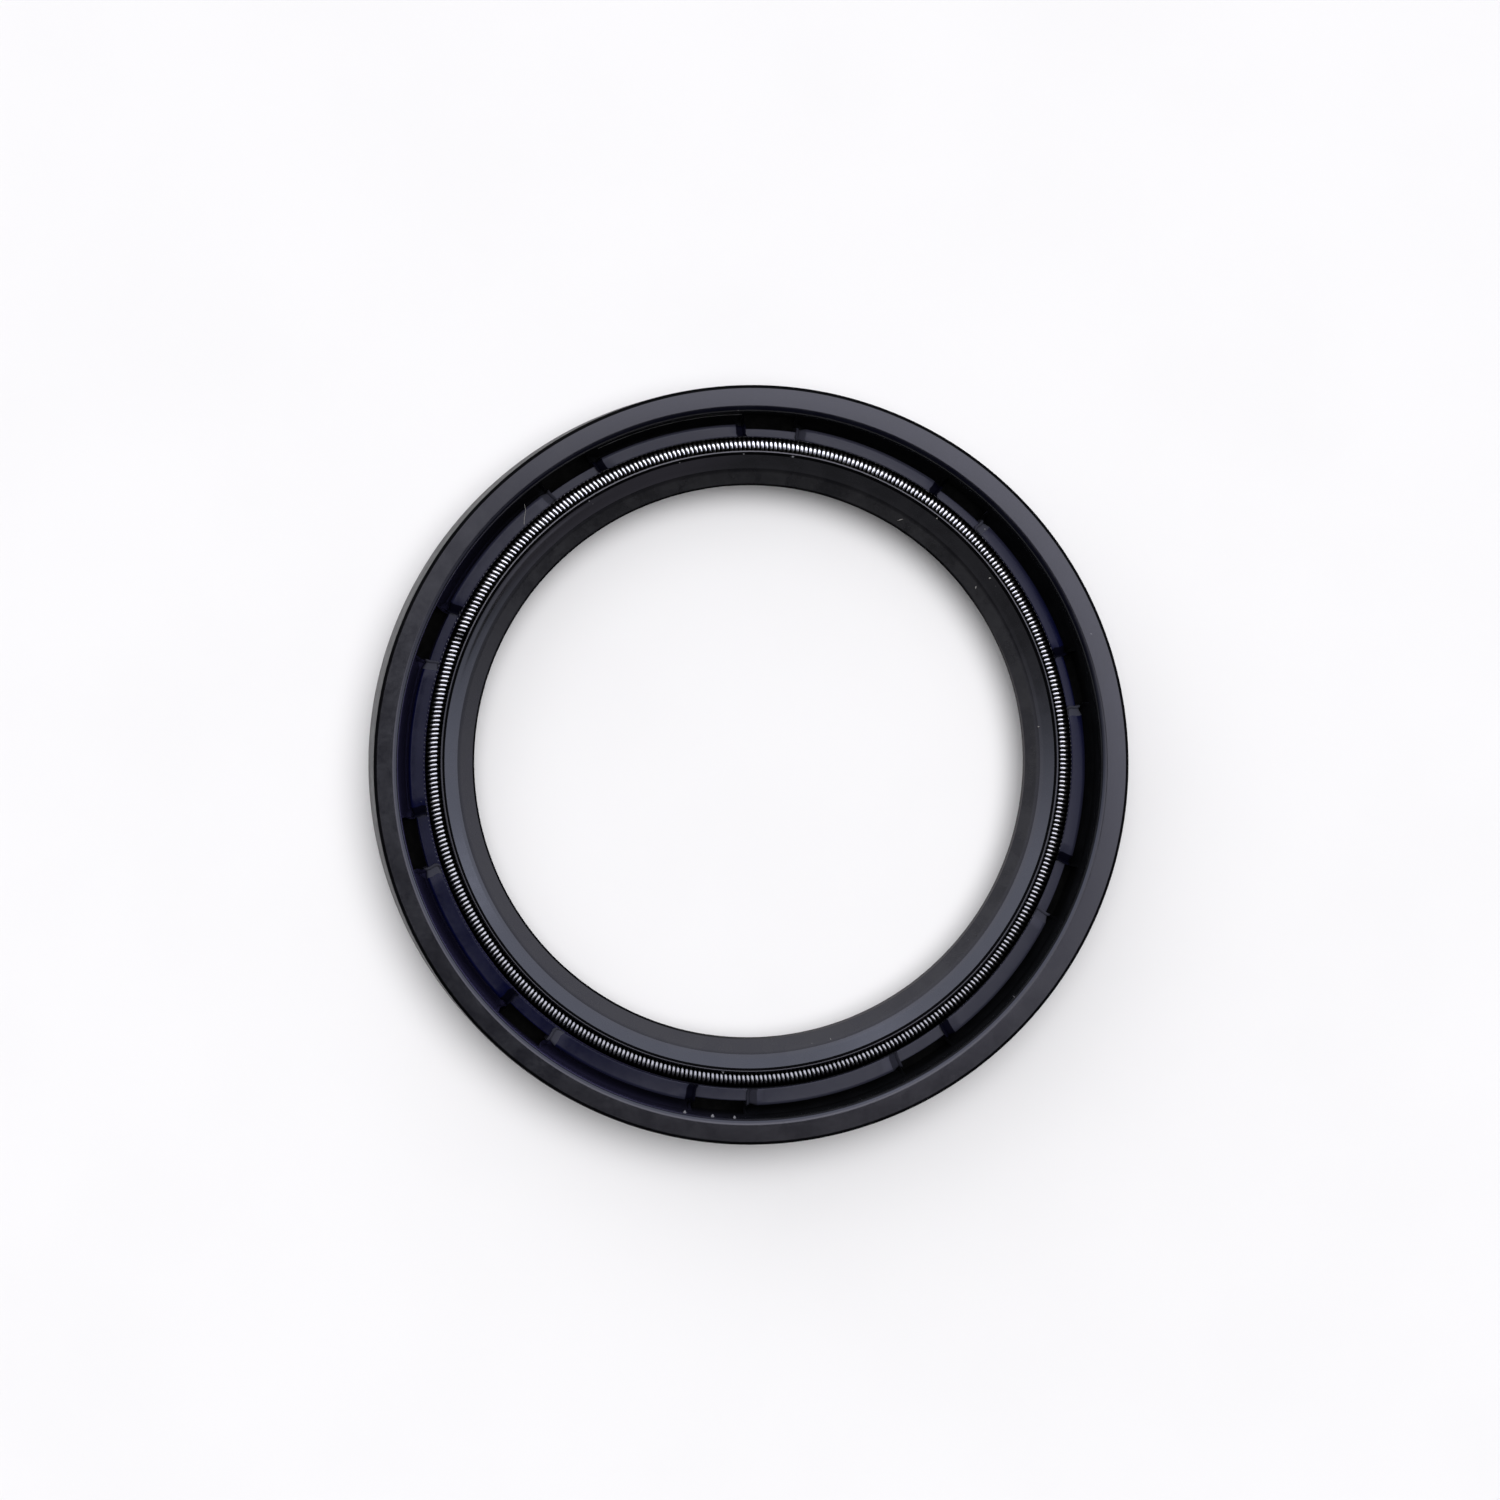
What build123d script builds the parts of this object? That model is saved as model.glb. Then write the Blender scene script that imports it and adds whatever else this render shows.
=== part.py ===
from build123d import *
import math
import os

# Radial shaft seal with a garter spring and a dust lip, in millimetres.
# The origin is the centre of the air side face, and +Z points along the shaft to the oil side.
# Radii are measured from the shaft's axis, and heights from the air side face.

# ---- Sizes that name the seal ----
shaft_diameter = 40.0
radial_section = 6.0  # shaft surface to housing bore
seal_width = 7.0

# ---- Steel case, an L in section, moulded into the rubber ----
case_thickness = 0.8
case_bend_radius = 0.4  # inside of the bend
flange_standoff = 1.2  # shaft surface to the flange's inner edge

# ---- Rubber over the case ----
outside_cover = 0.53
inside_cover = 0.32
air_face_cover = 0.45
oil_end_cover = 0.65
floor_cover = 0.5
lead_in_height = 0.9
lead_in_depth = 0.35
oil_edge_radius = 0.15
land_edge_radius = 0.3
wall_draft = 0.1
root_slope_rise = 2.6
root_slope_reach = 0.9

# ---- Sealing lip ----
lip_preload = 1.0  # the free edge stands this far inside the shaft surface
lip_edge_height = 4.05
lip_edge_land = 0.13
contact_cone_angle = 28.0  # degrees from the axis, on the air side of the edge
trimmed_face_width = 1.05
trimmed_face_rise = 0.12
rim_rise = 0.85
rim_width = 0.22
rim_step = 0.16
neck_height = 2.3
neck_wall = 1.34
valley_height = 1.57  # between the sealing lip and the dust lip

# ---- Dust lip ----
dust_lip_preload = 0.2
dust_tip_height = 0.62
dust_tip_land = 0.12
dust_recess_height = 0.8
dust_recess_standoff = 0.5
air_face_standoff = 0.85  # shaft surface to the inner edge of the air side face

# ---- Garter spring and its groove ----
coil_diameter = 1.5
wire_diameter = 0.29
turn_pitch = 0.306
spring_standoff = 2.85  # sealing edge to the centre of the groove
spring_offset = 0.15  # the groove lies this far to the air side of the sealing edge
groove_clearance = 0.03
seat_clearance = 0.01
mouth_width = 0.96

# ---- Segmented ring that keeps the spring in ----
ring_wall = 1.0
ring_rise = 1.6
ring_underside_drop = 0.6
tool_pad_count = 10
tool_pad_arc = 9.2  # degrees
tool_pad_start = 13.7  # degrees, middle of the first pad
short_segment_drop = 0.35
short_segment_recess = 0.2

# ---- Radii and heights that follow ----
shaft_radius = shaft_diameter / 2
housing_radius = shaft_radius + radial_section
case_outer = housing_radius - outside_cover
case_inner = case_outer - case_thickness
case_top = seal_width - oil_end_cover
flange_inner = shaft_radius + flange_standoff
flange_low = air_face_cover
flange_high = flange_low + case_thickness
wall_inner = case_inner - inside_cover
wall_foot = wall_inner - wall_draft
cavity_floor = flange_high + floor_cover

lip_radius = shaft_radius - lip_preload
cone_top = lip_edge_height - lip_edge_land
cone_slope = math.tan(math.radians(contact_cone_angle))
valley_radius = lip_radius + (cone_top - valley_height) * cone_slope
neck_outer = lip_radius + (cone_top - neck_height) * cone_slope + neck_wall
dust_radius = shaft_radius - dust_lip_preload
dust_recess_radius = shaft_radius + dust_recess_standoff
air_face_inner = shaft_radius + air_face_standoff

groove_circle = lip_radius + spring_standoff
groove_radius = coil_diameter / 2 + groove_clearance
groove_height = lip_edge_height - spring_offset
mouth_inner = groove_circle - mouth_width / 2
mouth_outer = groove_circle + mouth_width / 2
rim_top = lip_edge_height + rim_rise
rim_inner = mouth_inner - rim_width
ring_outer = mouth_outer + ring_wall
ring_top = groove_height + ring_rise
ring_underside = groove_height - ring_underside_drop
short_segment_top = ring_top - short_segment_drop
short_segment_outer = ring_outer - short_segment_recess

# ---- Outlines: each corner is its radius, its height and its rounding ----
case_corners = [
    (flange_inner, flange_low, 0),
    (case_outer, flange_low, case_bend_radius + case_thickness),
    (case_outer, case_top, 0),
    (case_inner, case_top, 0),
    (case_inner, flange_high, case_bend_radius),
    (flange_inner, flange_high, 0),
]

cover_corners = [
    (air_face_inner, 0, 0.1),
    (housing_radius - lead_in_depth, 0, 0.15),
    (housing_radius, lead_in_height, 0.3),
    (housing_radius, seal_width, oil_edge_radius),
    (wall_inner, seal_width, land_edge_radius),
    (wall_foot, cavity_floor + root_slope_rise, 0.6),
    (wall_inner - root_slope_reach, cavity_floor, 0.3),
]

head_corners = [
    (neck_outer, cavity_floor, 0.3),
    (neck_outer, neck_height, 0.4),
    (ring_outer, ring_underside, 0.2),
    (ring_outer, ring_top, 0.2),
    (mouth_outer, ring_top, 0.05),
    (mouth_outer, groove_height, 0),
    (mouth_inner, groove_height, 0),
    (mouth_inner, rim_top, 0.04),
    (rim_inner, rim_top, 0.03),
    (rim_inner - rim_step / 2, rim_top - rim_step, 0),
    (lip_radius + trimmed_face_width, lip_edge_height + trimmed_face_rise, 0.9),
    (lip_radius, lip_edge_height, 0),
    (lip_radius, cone_top, 0),
]

dust_lip_corners = [
    (valley_radius, valley_height, 0.25),
    (dust_radius, dust_tip_height, 0),
    (dust_radius, dust_tip_height - dust_tip_land, 0),
    (dust_recess_radius, dust_recess_height, 0.12),
]

rubber_corners = cover_corners + head_corners + dust_lip_corners

# The tool's pads hold the case's flange while the rubber is moulded around it.
# Each leaves a pocket down to the steel, and a short segment that is lower and set back.
pad_corners = [
    (groove_circle, short_segment_top),
    (short_segment_outer, short_segment_top),
    (short_segment_outer, flange_high),
    (wall_foot, flange_high),
    (wall_foot, ring_top + short_segment_drop),
    (groove_circle, ring_top + short_segment_drop),
]


def points_of(corners):
    return [(radius, height) for radius, height, rounding in corners]


def roundings_of(corners):
    return [rounding for radius, height, rounding in corners]


# ---- Steel case ----
with BuildPart() as steel_case:
    with BuildSketch(Plane.XZ):
        with BuildLine():
            FilletPolyline(*points_of(case_corners), radius=roundings_of(case_corners), close=True)
        make_face()
    revolve(axis=Axis.Z)
steel_case.part.label = "steel_case"

# ---- One pad of the tool, used to cut the pockets ----
with BuildPart() as tool_pad:
    with BuildSketch(Plane.XZ.rotated((0, 0, -tool_pad_arc / 2))):
        with BuildLine():
            Polyline(*pad_corners, close=True)
        make_face()
    revolve(axis=Axis.Z, revolution_arc=tool_pad_arc)

# ---- Rubber body: cover, flex neck, lip head, spring ring and dust lip in one moulding ----
with BuildPart() as rubber_body:
    with BuildSketch(Plane.XZ):
        with BuildLine():
            FilletPolyline(*points_of(rubber_corners), radius=roundings_of(rubber_corners), close=True)
        make_face()
        with Locations((groove_circle, groove_height)):
            Circle(groove_radius, mode=Mode.SUBTRACT)
    revolve(axis=Axis.Z)
    add(steel_case.part, mode=Mode.SUBTRACT)
    with PolarLocations(0, tool_pad_count, start_angle=tool_pad_start):
        add(tool_pad.part, mode=Mode.SUBTRACT)
rubber_body.part.label = "rubber_body"

# ---- Garter spring: one close-wound wire whose ends meet, with facets for its turns ----
# Each turn has one crest and one valley, and both climb by a turn's pitch around the coil.
coil_sides = 6
coil_radius = coil_diameter / 2
spring_circle = groove_circle - groove_clearance + seat_clearance
turn_count = round(2 * math.pi * spring_circle / turn_pitch)
valley_depth = 0.4 * wire_diameter


def coil_point(half_turn, side):
    """A corner of the coil. Even half turns are crests, and odd ones are valleys."""
    around_ring = 2 * math.pi * (half_turn / 2 + side / coil_sides) / turn_count
    around_coil = 2 * math.pi * side / coil_sides
    reach = coil_radius - valley_depth * (half_turn % 2)
    radius = spring_circle + reach * math.cos(around_coil)
    height = groove_height + reach * math.sin(around_coil)
    return Vector(radius * math.cos(around_ring), radius * math.sin(around_ring), height)


coil_facets = []
for half_turn in range(2 * turn_count):
    for side in range(coil_sides):
        near = coil_point(half_turn, side)
        near_up = coil_point(half_turn, side + 1)
        far = coil_point(half_turn + 1, side)
        far_up = coil_point(half_turn + 1, side + 1)
        coil_facets.append(Face(Wire.make_polygon([near, near_up, far_up])))
        coil_facets.append(Face(Wire.make_polygon([near, far_up, far])))
coil = Solid(Shell(coil_facets))

with BuildPart() as garter_spring:
    add(coil)
garter_spring.part.label = "garter_spring"

# ---- Files ----
os.makedirs("parts", exist_ok=True)
export_step(steel_case.part, "parts/steel_case.step")
export_step(rubber_body.part, "parts/rubber_body.step")
export_step(garter_spring.part, "parts/garter_spring.step")
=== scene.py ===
"""Radial shaft seal lying with its oil side up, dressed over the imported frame.

Lengths in the classes are millimetres. Radii are measured from the shaft's axis and heights from the
air side face, as in the frame. Meshes are written in metres.
"""

import logging
import math
from collections.abc import Sequence
from dataclasses import dataclass, replace
from enum import Enum
from itertools import pairwise

import bmesh
import bpy
from mathutils import Matrix, Vector, noise

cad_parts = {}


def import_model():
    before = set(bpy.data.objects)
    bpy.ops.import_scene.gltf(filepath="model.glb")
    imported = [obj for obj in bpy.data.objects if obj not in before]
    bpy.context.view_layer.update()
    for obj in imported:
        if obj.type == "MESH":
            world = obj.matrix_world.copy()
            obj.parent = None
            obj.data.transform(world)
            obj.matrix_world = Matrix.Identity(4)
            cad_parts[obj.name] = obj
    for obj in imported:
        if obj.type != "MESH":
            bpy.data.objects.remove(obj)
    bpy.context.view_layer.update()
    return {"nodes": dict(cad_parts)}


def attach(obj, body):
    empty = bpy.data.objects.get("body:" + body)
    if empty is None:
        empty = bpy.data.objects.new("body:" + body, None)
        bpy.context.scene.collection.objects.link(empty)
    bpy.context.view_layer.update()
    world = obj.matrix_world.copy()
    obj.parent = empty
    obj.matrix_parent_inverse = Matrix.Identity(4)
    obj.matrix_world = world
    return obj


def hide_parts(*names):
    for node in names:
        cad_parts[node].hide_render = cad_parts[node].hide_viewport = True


MM = 0.001
BODY = "root"

Point = tuple[float, float]
Corner = tuple[float, float, float]

log = logging.getLogger("shaft_seal")


# ---------------------------------------------------------------- outlines


def rounded_run(corners: Sequence[Corner], arc_step: float = 14.0, guard: float = 0.03) -> list[Point]:
    """Trace an open outline whose inner corners are rounded.

    Args:
        corners: Radius, height and rounding of each corner, in order. The ends aren't rounded.
        arc_step: Largest turn between two points of a rounding, in degrees.
        guard: Distance from a rounding to the extra point that keeps the flat beside it flat.

    Returns:
        The outline's points.
    """
    points = [corners[0][:2]]
    for before, corner, after in zip(corners, corners[1:], corners[2:], strict=False):
        here = Vector(corner[:2])
        if corner[2] == 0:
            points.append(tuple(here))
            continue
        back = Vector(before[:2]) - here
        ahead = Vector(after[:2]) - here
        room_back, room_ahead = back.length, ahead.length
        back.normalize()
        ahead.normalize()
        between = back.angle(ahead)
        turn = math.pi - between
        reach = corner[2] * math.tan(turn / 2)
        centre = here + (back + ahead).normalized() * (corner[2] / math.sin(between / 2))
        start = here + back * reach
        side = 1.0 if back.x * ahead.y - back.y * ahead.x < 0 else -1.0
        steps = max(2, math.ceil(math.degrees(turn) / arc_step))
        if room_back > reach + 3 * guard:
            points.append(tuple(start + back * guard))
        for step in range(steps + 1):
            arm = (start - centre).to_3d()
            arm.rotate(Matrix.Rotation(side * turn * step / steps, 3, "Z"))
            points.append((centre.x + arm.x, centre.y + arm.y))
        if room_ahead > reach + 3 * guard:
            points.append(tuple(here + ahead * (reach + guard)))
    points.append(corners[-1][:2])
    return points


def divided(points: Sequence[Point], longest: float) -> list[Point]:
    """Divide an outline's long straight stretches.

    Args:
        points: The outline's points.
        longest: Longest stretch that stays undivided.

    Returns:
        The outline with the points added.
    """
    result = [points[0]]
    for start, end in pairwise(points):
        parts = max(1, math.ceil(math.dist(start, end) / longest))
        for part in range(1, parts + 1):
            share = part / parts
            result.append((start[0] + (end[0] - start[0]) * share, start[1] + (end[1] - start[1]) * share))
    return result


def shares(points: Sequence[Point]) -> list[float]:
    """Give how far along its outline each point lies.

    Args:
        points: The outline's points.

    Returns:
        One share from 0 to 1 for each point.
    """
    along = [0.0]
    for start, end in pairwise(points):
        along.append(along[-1] + math.dist(start, end))
    return [value / along[-1] for value in along]


def point_at(points: Sequence[Point], along: Sequence[float], share: float) -> Point:
    """Find the point at a share of an outline's length.

    Args:
        points: The outline's points.
        along: The share of each point, from shares().
        share: The share that is wanted.

    Returns:
        The point.
    """
    for index in range(1, len(points)):
        if share <= along[index] + 1e-9:
            gap = along[index] - along[index - 1]
            mix = (share - along[index - 1]) / gap if gap > 0 else 0.0
            start, end = points[index - 1], points[index]
            return (start[0] + (end[0] - start[0]) * mix, start[1] + (end[1] - start[1]) * mix)
    return points[-1]


def matched(first: Sequence[Point], second: Sequence[Point]) -> tuple[list[Point], list[Point]]:
    """Give two outlines the same number of points, and keep the corners of both.

    Args:
        first: One outline.
        second: The other outline.

    Returns:
        Both outlines, with as many points as each other.
    """
    along_first, along_second = shares(first), shares(second)
    wanted: list[float] = []
    for share in sorted([*along_first, *along_second]):
        if not wanted or share - wanted[-1] > 1e-3:
            wanted.append(share)
    wanted[-1] = 1.0
    return (
        [point_at(first, along_first, share) for share in wanted],
        [point_at(second, along_second, share) for share in wanted],
    )


def smooth_step(low: float, high: float, value: float) -> float:
    """Return 0 below low, 1 above high, and a smooth rise between them."""
    share = min(1.0, max(0.0, (value - low) / (high - low)))
    return share * share * (3 - 2 * share)


# ---------------------------------------------------------------- node trees


class NodeBoard:
    """Adds nodes to one tree and joins them."""

    def __init__(self, tree: bpy.types.NodeTree) -> None:
        """Keep the tree that the nodes go into."""
        self.tree = tree

    def feed(self, socket: bpy.types.NodeSocket, value: object) -> None:
        """Join another socket to this one, or set its own value."""
        if isinstance(value, bpy.types.NodeSocket):
            self.tree.links.new(value, socket)
        else:
            socket.default_value = value

    def add(self, kind: str, inputs: dict | None = None, **settings: object) -> bpy.types.Node:
        """Add a node.

        Args:
            kind: The node's type.
            inputs: Values or sockets for its inputs, by name or number.
            **settings: Properties of the node.

        Returns:
            The node.
        """
        node = self.tree.nodes.new(kind)
        for name, value in settings.items():
            setattr(node, name, value)
        for key, value in (inputs or {}).items():
            self.feed(node.inputs[key], value)
        return node

    def math(self, operation: str, *terms: object) -> bpy.types.NodeSocket:
        """Add a Math node and return its result."""
        node = self.add("ShaderNodeMath", dict(enumerate(terms)), operation=operation)
        return node.outputs[0]

    def rise(self, value: object, low: float, high: float, start: float = 0.0, end: float = 1.0) -> object:
        """Map a value smoothly from one range to another.

        Args:
            value: The value or socket.
            low: Where the rise begins.
            high: Where it ends.
            start: Result below the rise.
            end: Result above the rise.

        Returns:
            The result's socket.
        """
        inputs = {0: value, 1: low, 2: high, 3: start, 4: end}
        return self.add("ShaderNodeMapRange", inputs, interpolation_type="SMOOTHSTEP").outputs[0]

    def reach_along(self, place: object, azimuth: float) -> bpy.types.NodeSocket:
        """Measure how far a place reaches along a bearing.

        Args:
            place: The place's socket, in metres.
            azimuth: The bearing in degrees.

        Returns:
            The socket of the reach, in millimetres.
        """
        bearing = math.radians(azimuth)
        inputs = {0: place, 1: (math.cos(bearing) / MM, math.sin(bearing) / MM, 0.0)}
        return self.add("ShaderNodeVectorMath", inputs, operation="DOT_PRODUCT").outputs["Value"]

    def mix_colour(self, share: object, first: object, second: object) -> bpy.types.NodeSocket:
        """Mix two colours by a share and return the colour's socket."""
        node = self.add("ShaderNodeMix", data_type="RGBA")
        self.feed(node.inputs[0], share)
        self.feed(node.inputs[6], first)
        self.feed(node.inputs[7], second)
        return node.outputs[2]


def shader_group(
    name: str, inputs: dict[str, float], outputs: Sequence[str]
) -> tuple[NodeBoard, bpy.types.Node, bpy.types.Node]:
    """Start a shader node group whose sockets are all numbers, after a vector input named Place.

    Args:
        name: The group's name.
        inputs: Names and values of the number inputs.
        outputs: Names of the number outputs.

    Returns:
        The group's board, its input node and its output node.
    """
    tree = bpy.data.node_groups.new(name, "ShaderNodeTree")
    tree.interface.new_socket("Place", in_out="INPUT", socket_type="NodeSocketVector")
    for label, value in inputs.items():
        socket = tree.interface.new_socket(label, in_out="INPUT", socket_type="NodeSocketFloat")
        socket.default_value = value
    for label in outputs:
        tree.interface.new_socket(label, in_out="OUTPUT", socket_type="NodeSocketFloat")
    board = NodeBoard(tree)
    return board, board.add("NodeGroupInput"), board.add("NodeGroupOutput")


class EffectLibrary:
    """The shader node groups that the finishes share."""

    def __init__(self) -> None:
        """Build each group once."""
        self.grain = self._grain()
        self.turned_lines = self._turned_lines()
        self.mottle = self._mottle()
        self.specks = self._specks()

    @staticmethod
    def _grain() -> bpy.types.NodeTree:
        """Build the fine grain that a mould's blasted face leaves."""
        board, given, result = shader_group("mould_grain", {"Cell": 0.06}, ["Height"])
        scale = board.math("DIVIDE", 1.0, board.math("MULTIPLY", given.outputs["Cell"], MM))
        fine = board.add(
            "ShaderNodeTexNoise",
            {"Vector": given.outputs["Place"], "Scale": scale, "Detail": 3.0, "Roughness": 0.6},
        )
        coarse_scale = board.math("MULTIPLY", scale, 0.21)
        coarse = board.add(
            "ShaderNodeTexNoise", {"Vector": given.outputs["Place"], "Scale": coarse_scale, "Detail": 2.0}
        )
        total = board.math("ADD", board.math("MULTIPLY", fine.outputs[0], 0.6), coarse.outputs[0])
        board.feed(result.inputs["Height"], board.math("DIVIDE", total, 1.6))
        return board.tree

    @staticmethod
    def _turned_lines() -> bpy.types.NodeTree:
        """Build the faint rings that a turned mould or a trimming knife leaves."""
        board, given, result = shader_group("turned_lines", {"Spacing": 0.12}, ["Height"])
        parts = board.add("ShaderNodeSeparateXYZ", {0: given.outputs["Place"]})
        across = board.math("POWER", parts.outputs[0], 2.0)
        along = board.math("POWER", parts.outputs[1], 2.0)
        radius = board.math("SQRT", board.math("ADD", across, along))
        scale = board.math("DIVIDE", 1.0, board.math("MULTIPLY", given.outputs["Spacing"], MM))
        drift = board.add(
            "ShaderNodeTexNoise", {"Vector": given.outputs["Place"], "Scale": 180.0, "Detail": 1.0}
        )
        wander = board.math("MULTIPLY", drift.outputs[0], 2.4)
        rings = board.add(
            "ShaderNodeCombineXYZ",
            {
                0: board.math("ADD", board.math("MULTIPLY", radius, scale), wander),
                1: board.math("MULTIPLY", parts.outputs[2], scale),
            },
        )
        lines = board.add("ShaderNodeTexNoise", {"Vector": rings.outputs[0], "Scale": 1.0, "Detail": 2.0})
        board.feed(result.inputs["Height"], lines.outputs[0])
        return board.tree

    @staticmethod
    def _mottle() -> bpy.types.NodeTree:
        """Build the soft patches that handling and bloom leave on rubber and metal."""
        board, given, result = shader_group("handling_mottle", {"Patch": 1.6}, ["Broad", "Fine"])
        scale = board.math("DIVIDE", 1.0, board.math("MULTIPLY", given.outputs["Patch"], MM))
        broad = board.add(
            "ShaderNodeTexNoise",
            {
                "Vector": given.outputs["Place"],
                "Scale": scale,
                "Detail": 3.0,
                "Roughness": 0.55,
                "Distortion": 0.4,
            },
        )
        board.feed(result.inputs["Broad"], board.rise(broad.outputs[0], 0.3, 0.7))
        fine = board.add(
            "ShaderNodeTexNoise",
            {"Vector": given.outputs["Place"], "Scale": board.math("MULTIPLY", scale, 5.5), "Detail": 4.0},
        )
        board.feed(result.inputs["Fine"], board.rise(fine.outputs[0], 0.35, 0.65))
        return board.tree

    @staticmethod
    def _specks() -> bpy.types.NodeTree:
        """Build the sparse specks of dust that lie on a face."""
        board, given, result = shader_group("dust_specks", {"Spacing": 0.9, "Size": 0.07}, ["Mask"])
        scale = board.math("DIVIDE", 1.0, board.math("MULTIPLY", given.outputs["Spacing"], MM))
        cells = board.add("ShaderNodeTexVoronoi", {"Vector": given.outputs["Place"], "Scale": scale})
        chance = board.add("ShaderNodeSeparateColor", {0: cells.outputs["Color"]})
        chosen = board.math("GREATER_THAN", chance.outputs[0], 0.8)
        size = board.math("MULTIPLY", given.outputs["Size"], chance.outputs[1])
        near = board.math("LESS_THAN", cells.outputs["Distance"], size)
        board.feed(result.inputs["Mask"], board.math("MULTIPLY", chosen, near))
        return board.tree


# ---------------------------------------------------------------- finishes

Colour = tuple[float, float, float]


@dataclass(frozen=True)
class RubberFinish:
    """Black nitrile rubber, moulded or trimmed.

    Its painted light lightens the side of the seal that faces its bearing: light painted into the colour,
    which stays there whatever the lamps are.
    """

    name: str
    slot: str = "rubber"
    deep: Colour = (0.0055, 0.0055, 0.0095)
    bloom: Colour = (0.0085, 0.0090, 0.0135)
    gloss_tint: Colour = (0.95, 0.96, 1.0)
    shine: float = 0.5
    gloss: float = 0.12
    dull: float = 0.18
    grain_cell: float = 0.08
    grain_depth: float = 0.0004
    line_spacing: float = 0.16
    line_depth: float = 0.0003
    dust: float = 0.25
    dust_tone: Colour = (0.30, 0.30, 0.31)
    wear_mix: tuple[float, float] = (0.6, 0.4)
    painted_light: Colour = (0.0, 0.0, 0.0)
    painted_light_azimuth: float = -160.0
    far_painted_light_azimuth: float | None = None
    painted_light_start: float = 6.0
    painted_light_reach: float = 24.0

    def material(self, effects: EffectLibrary) -> bpy.types.Material:
        """Build the material.

        Args:
            effects: The shared shader node groups.

        Returns:
            The material.
        """
        made = bpy.data.materials.new(self.name)
        made.use_nodes = True
        board = NodeBoard(made.node_tree)
        shader = made.node_tree.nodes["Principled BSDF"]
        place = board.add("ShaderNodeTexCoord").outputs["Object"]
        mottle = board.add("ShaderNodeGroup", node_tree=effects.mottle)
        board.feed(mottle.inputs["Place"], place)
        grain = board.add("ShaderNodeGroup", node_tree=effects.grain)
        board.feed(grain.inputs["Place"], place)
        board.feed(grain.inputs["Cell"], self.grain_cell)
        lines = board.add("ShaderNodeGroup", node_tree=effects.turned_lines)
        board.feed(lines.inputs["Place"], place)
        board.feed(lines.inputs["Spacing"], self.line_spacing)
        specks = board.add("ShaderNodeGroup", node_tree=effects.specks)
        board.feed(specks.inputs["Place"], place)
        body = board.mix_colour(mottle.outputs["Broad"], (*self.deep, 1.0), (*self.bloom, 1.0))
        # Painted light: the colour turns lighter towards the bearing, in place of light falling there.
        painted_lit_share = board.rise(board.reach_along(place, self.painted_light_azimuth), self.painted_light_start, self.painted_light_reach)
        if self.far_painted_light_azimuth is not None:
            far = board.reach_along(place, self.far_painted_light_azimuth)
            painted_lit_share = board.math("MAXIMUM", painted_lit_share, board.rise(far, self.painted_light_start, self.painted_light_reach))
        body = board.mix_colour(board.math("MULTIPLY", painted_lit_share, float(any(self.painted_light))), body, (*self.painted_light, 1.0))
        dust = board.math("MULTIPLY", specks.outputs["Mask"], self.dust)
        colour = board.mix_colour(dust, body, (*self.dust_tone, 1.0))
        board.feed(shader.inputs["Base Color"], colour)
        worn = board.math(
            "ADD",
            board.math("MULTIPLY", mottle.outputs["Broad"], self.wear_mix[0]),
            board.math("MULTIPLY", mottle.outputs["Fine"], self.wear_mix[1]),
        )
        rough = board.math("ADD", board.math("MULTIPLY", worn, self.dull - self.gloss), self.gloss)
        board.feed(shader.inputs["Roughness"], rough)
        shader.inputs["Specular IOR Level"].default_value = self.shine
        shader.inputs["Specular Tint"].default_value = (*self.gloss_tint, 1.0)
        height = board.math(
            "ADD",
            board.math("MULTIPLY", grain.outputs["Height"], self.grain_depth),
            board.math("MULTIPLY", lines.outputs["Height"], self.line_depth),
        )
        bump = board.add("ShaderNodeBump", {"Strength": 1.0, "Distance": MM, "Height": height})
        board.feed(shader.inputs["Normal"], bump.outputs[0])
        return made


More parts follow.
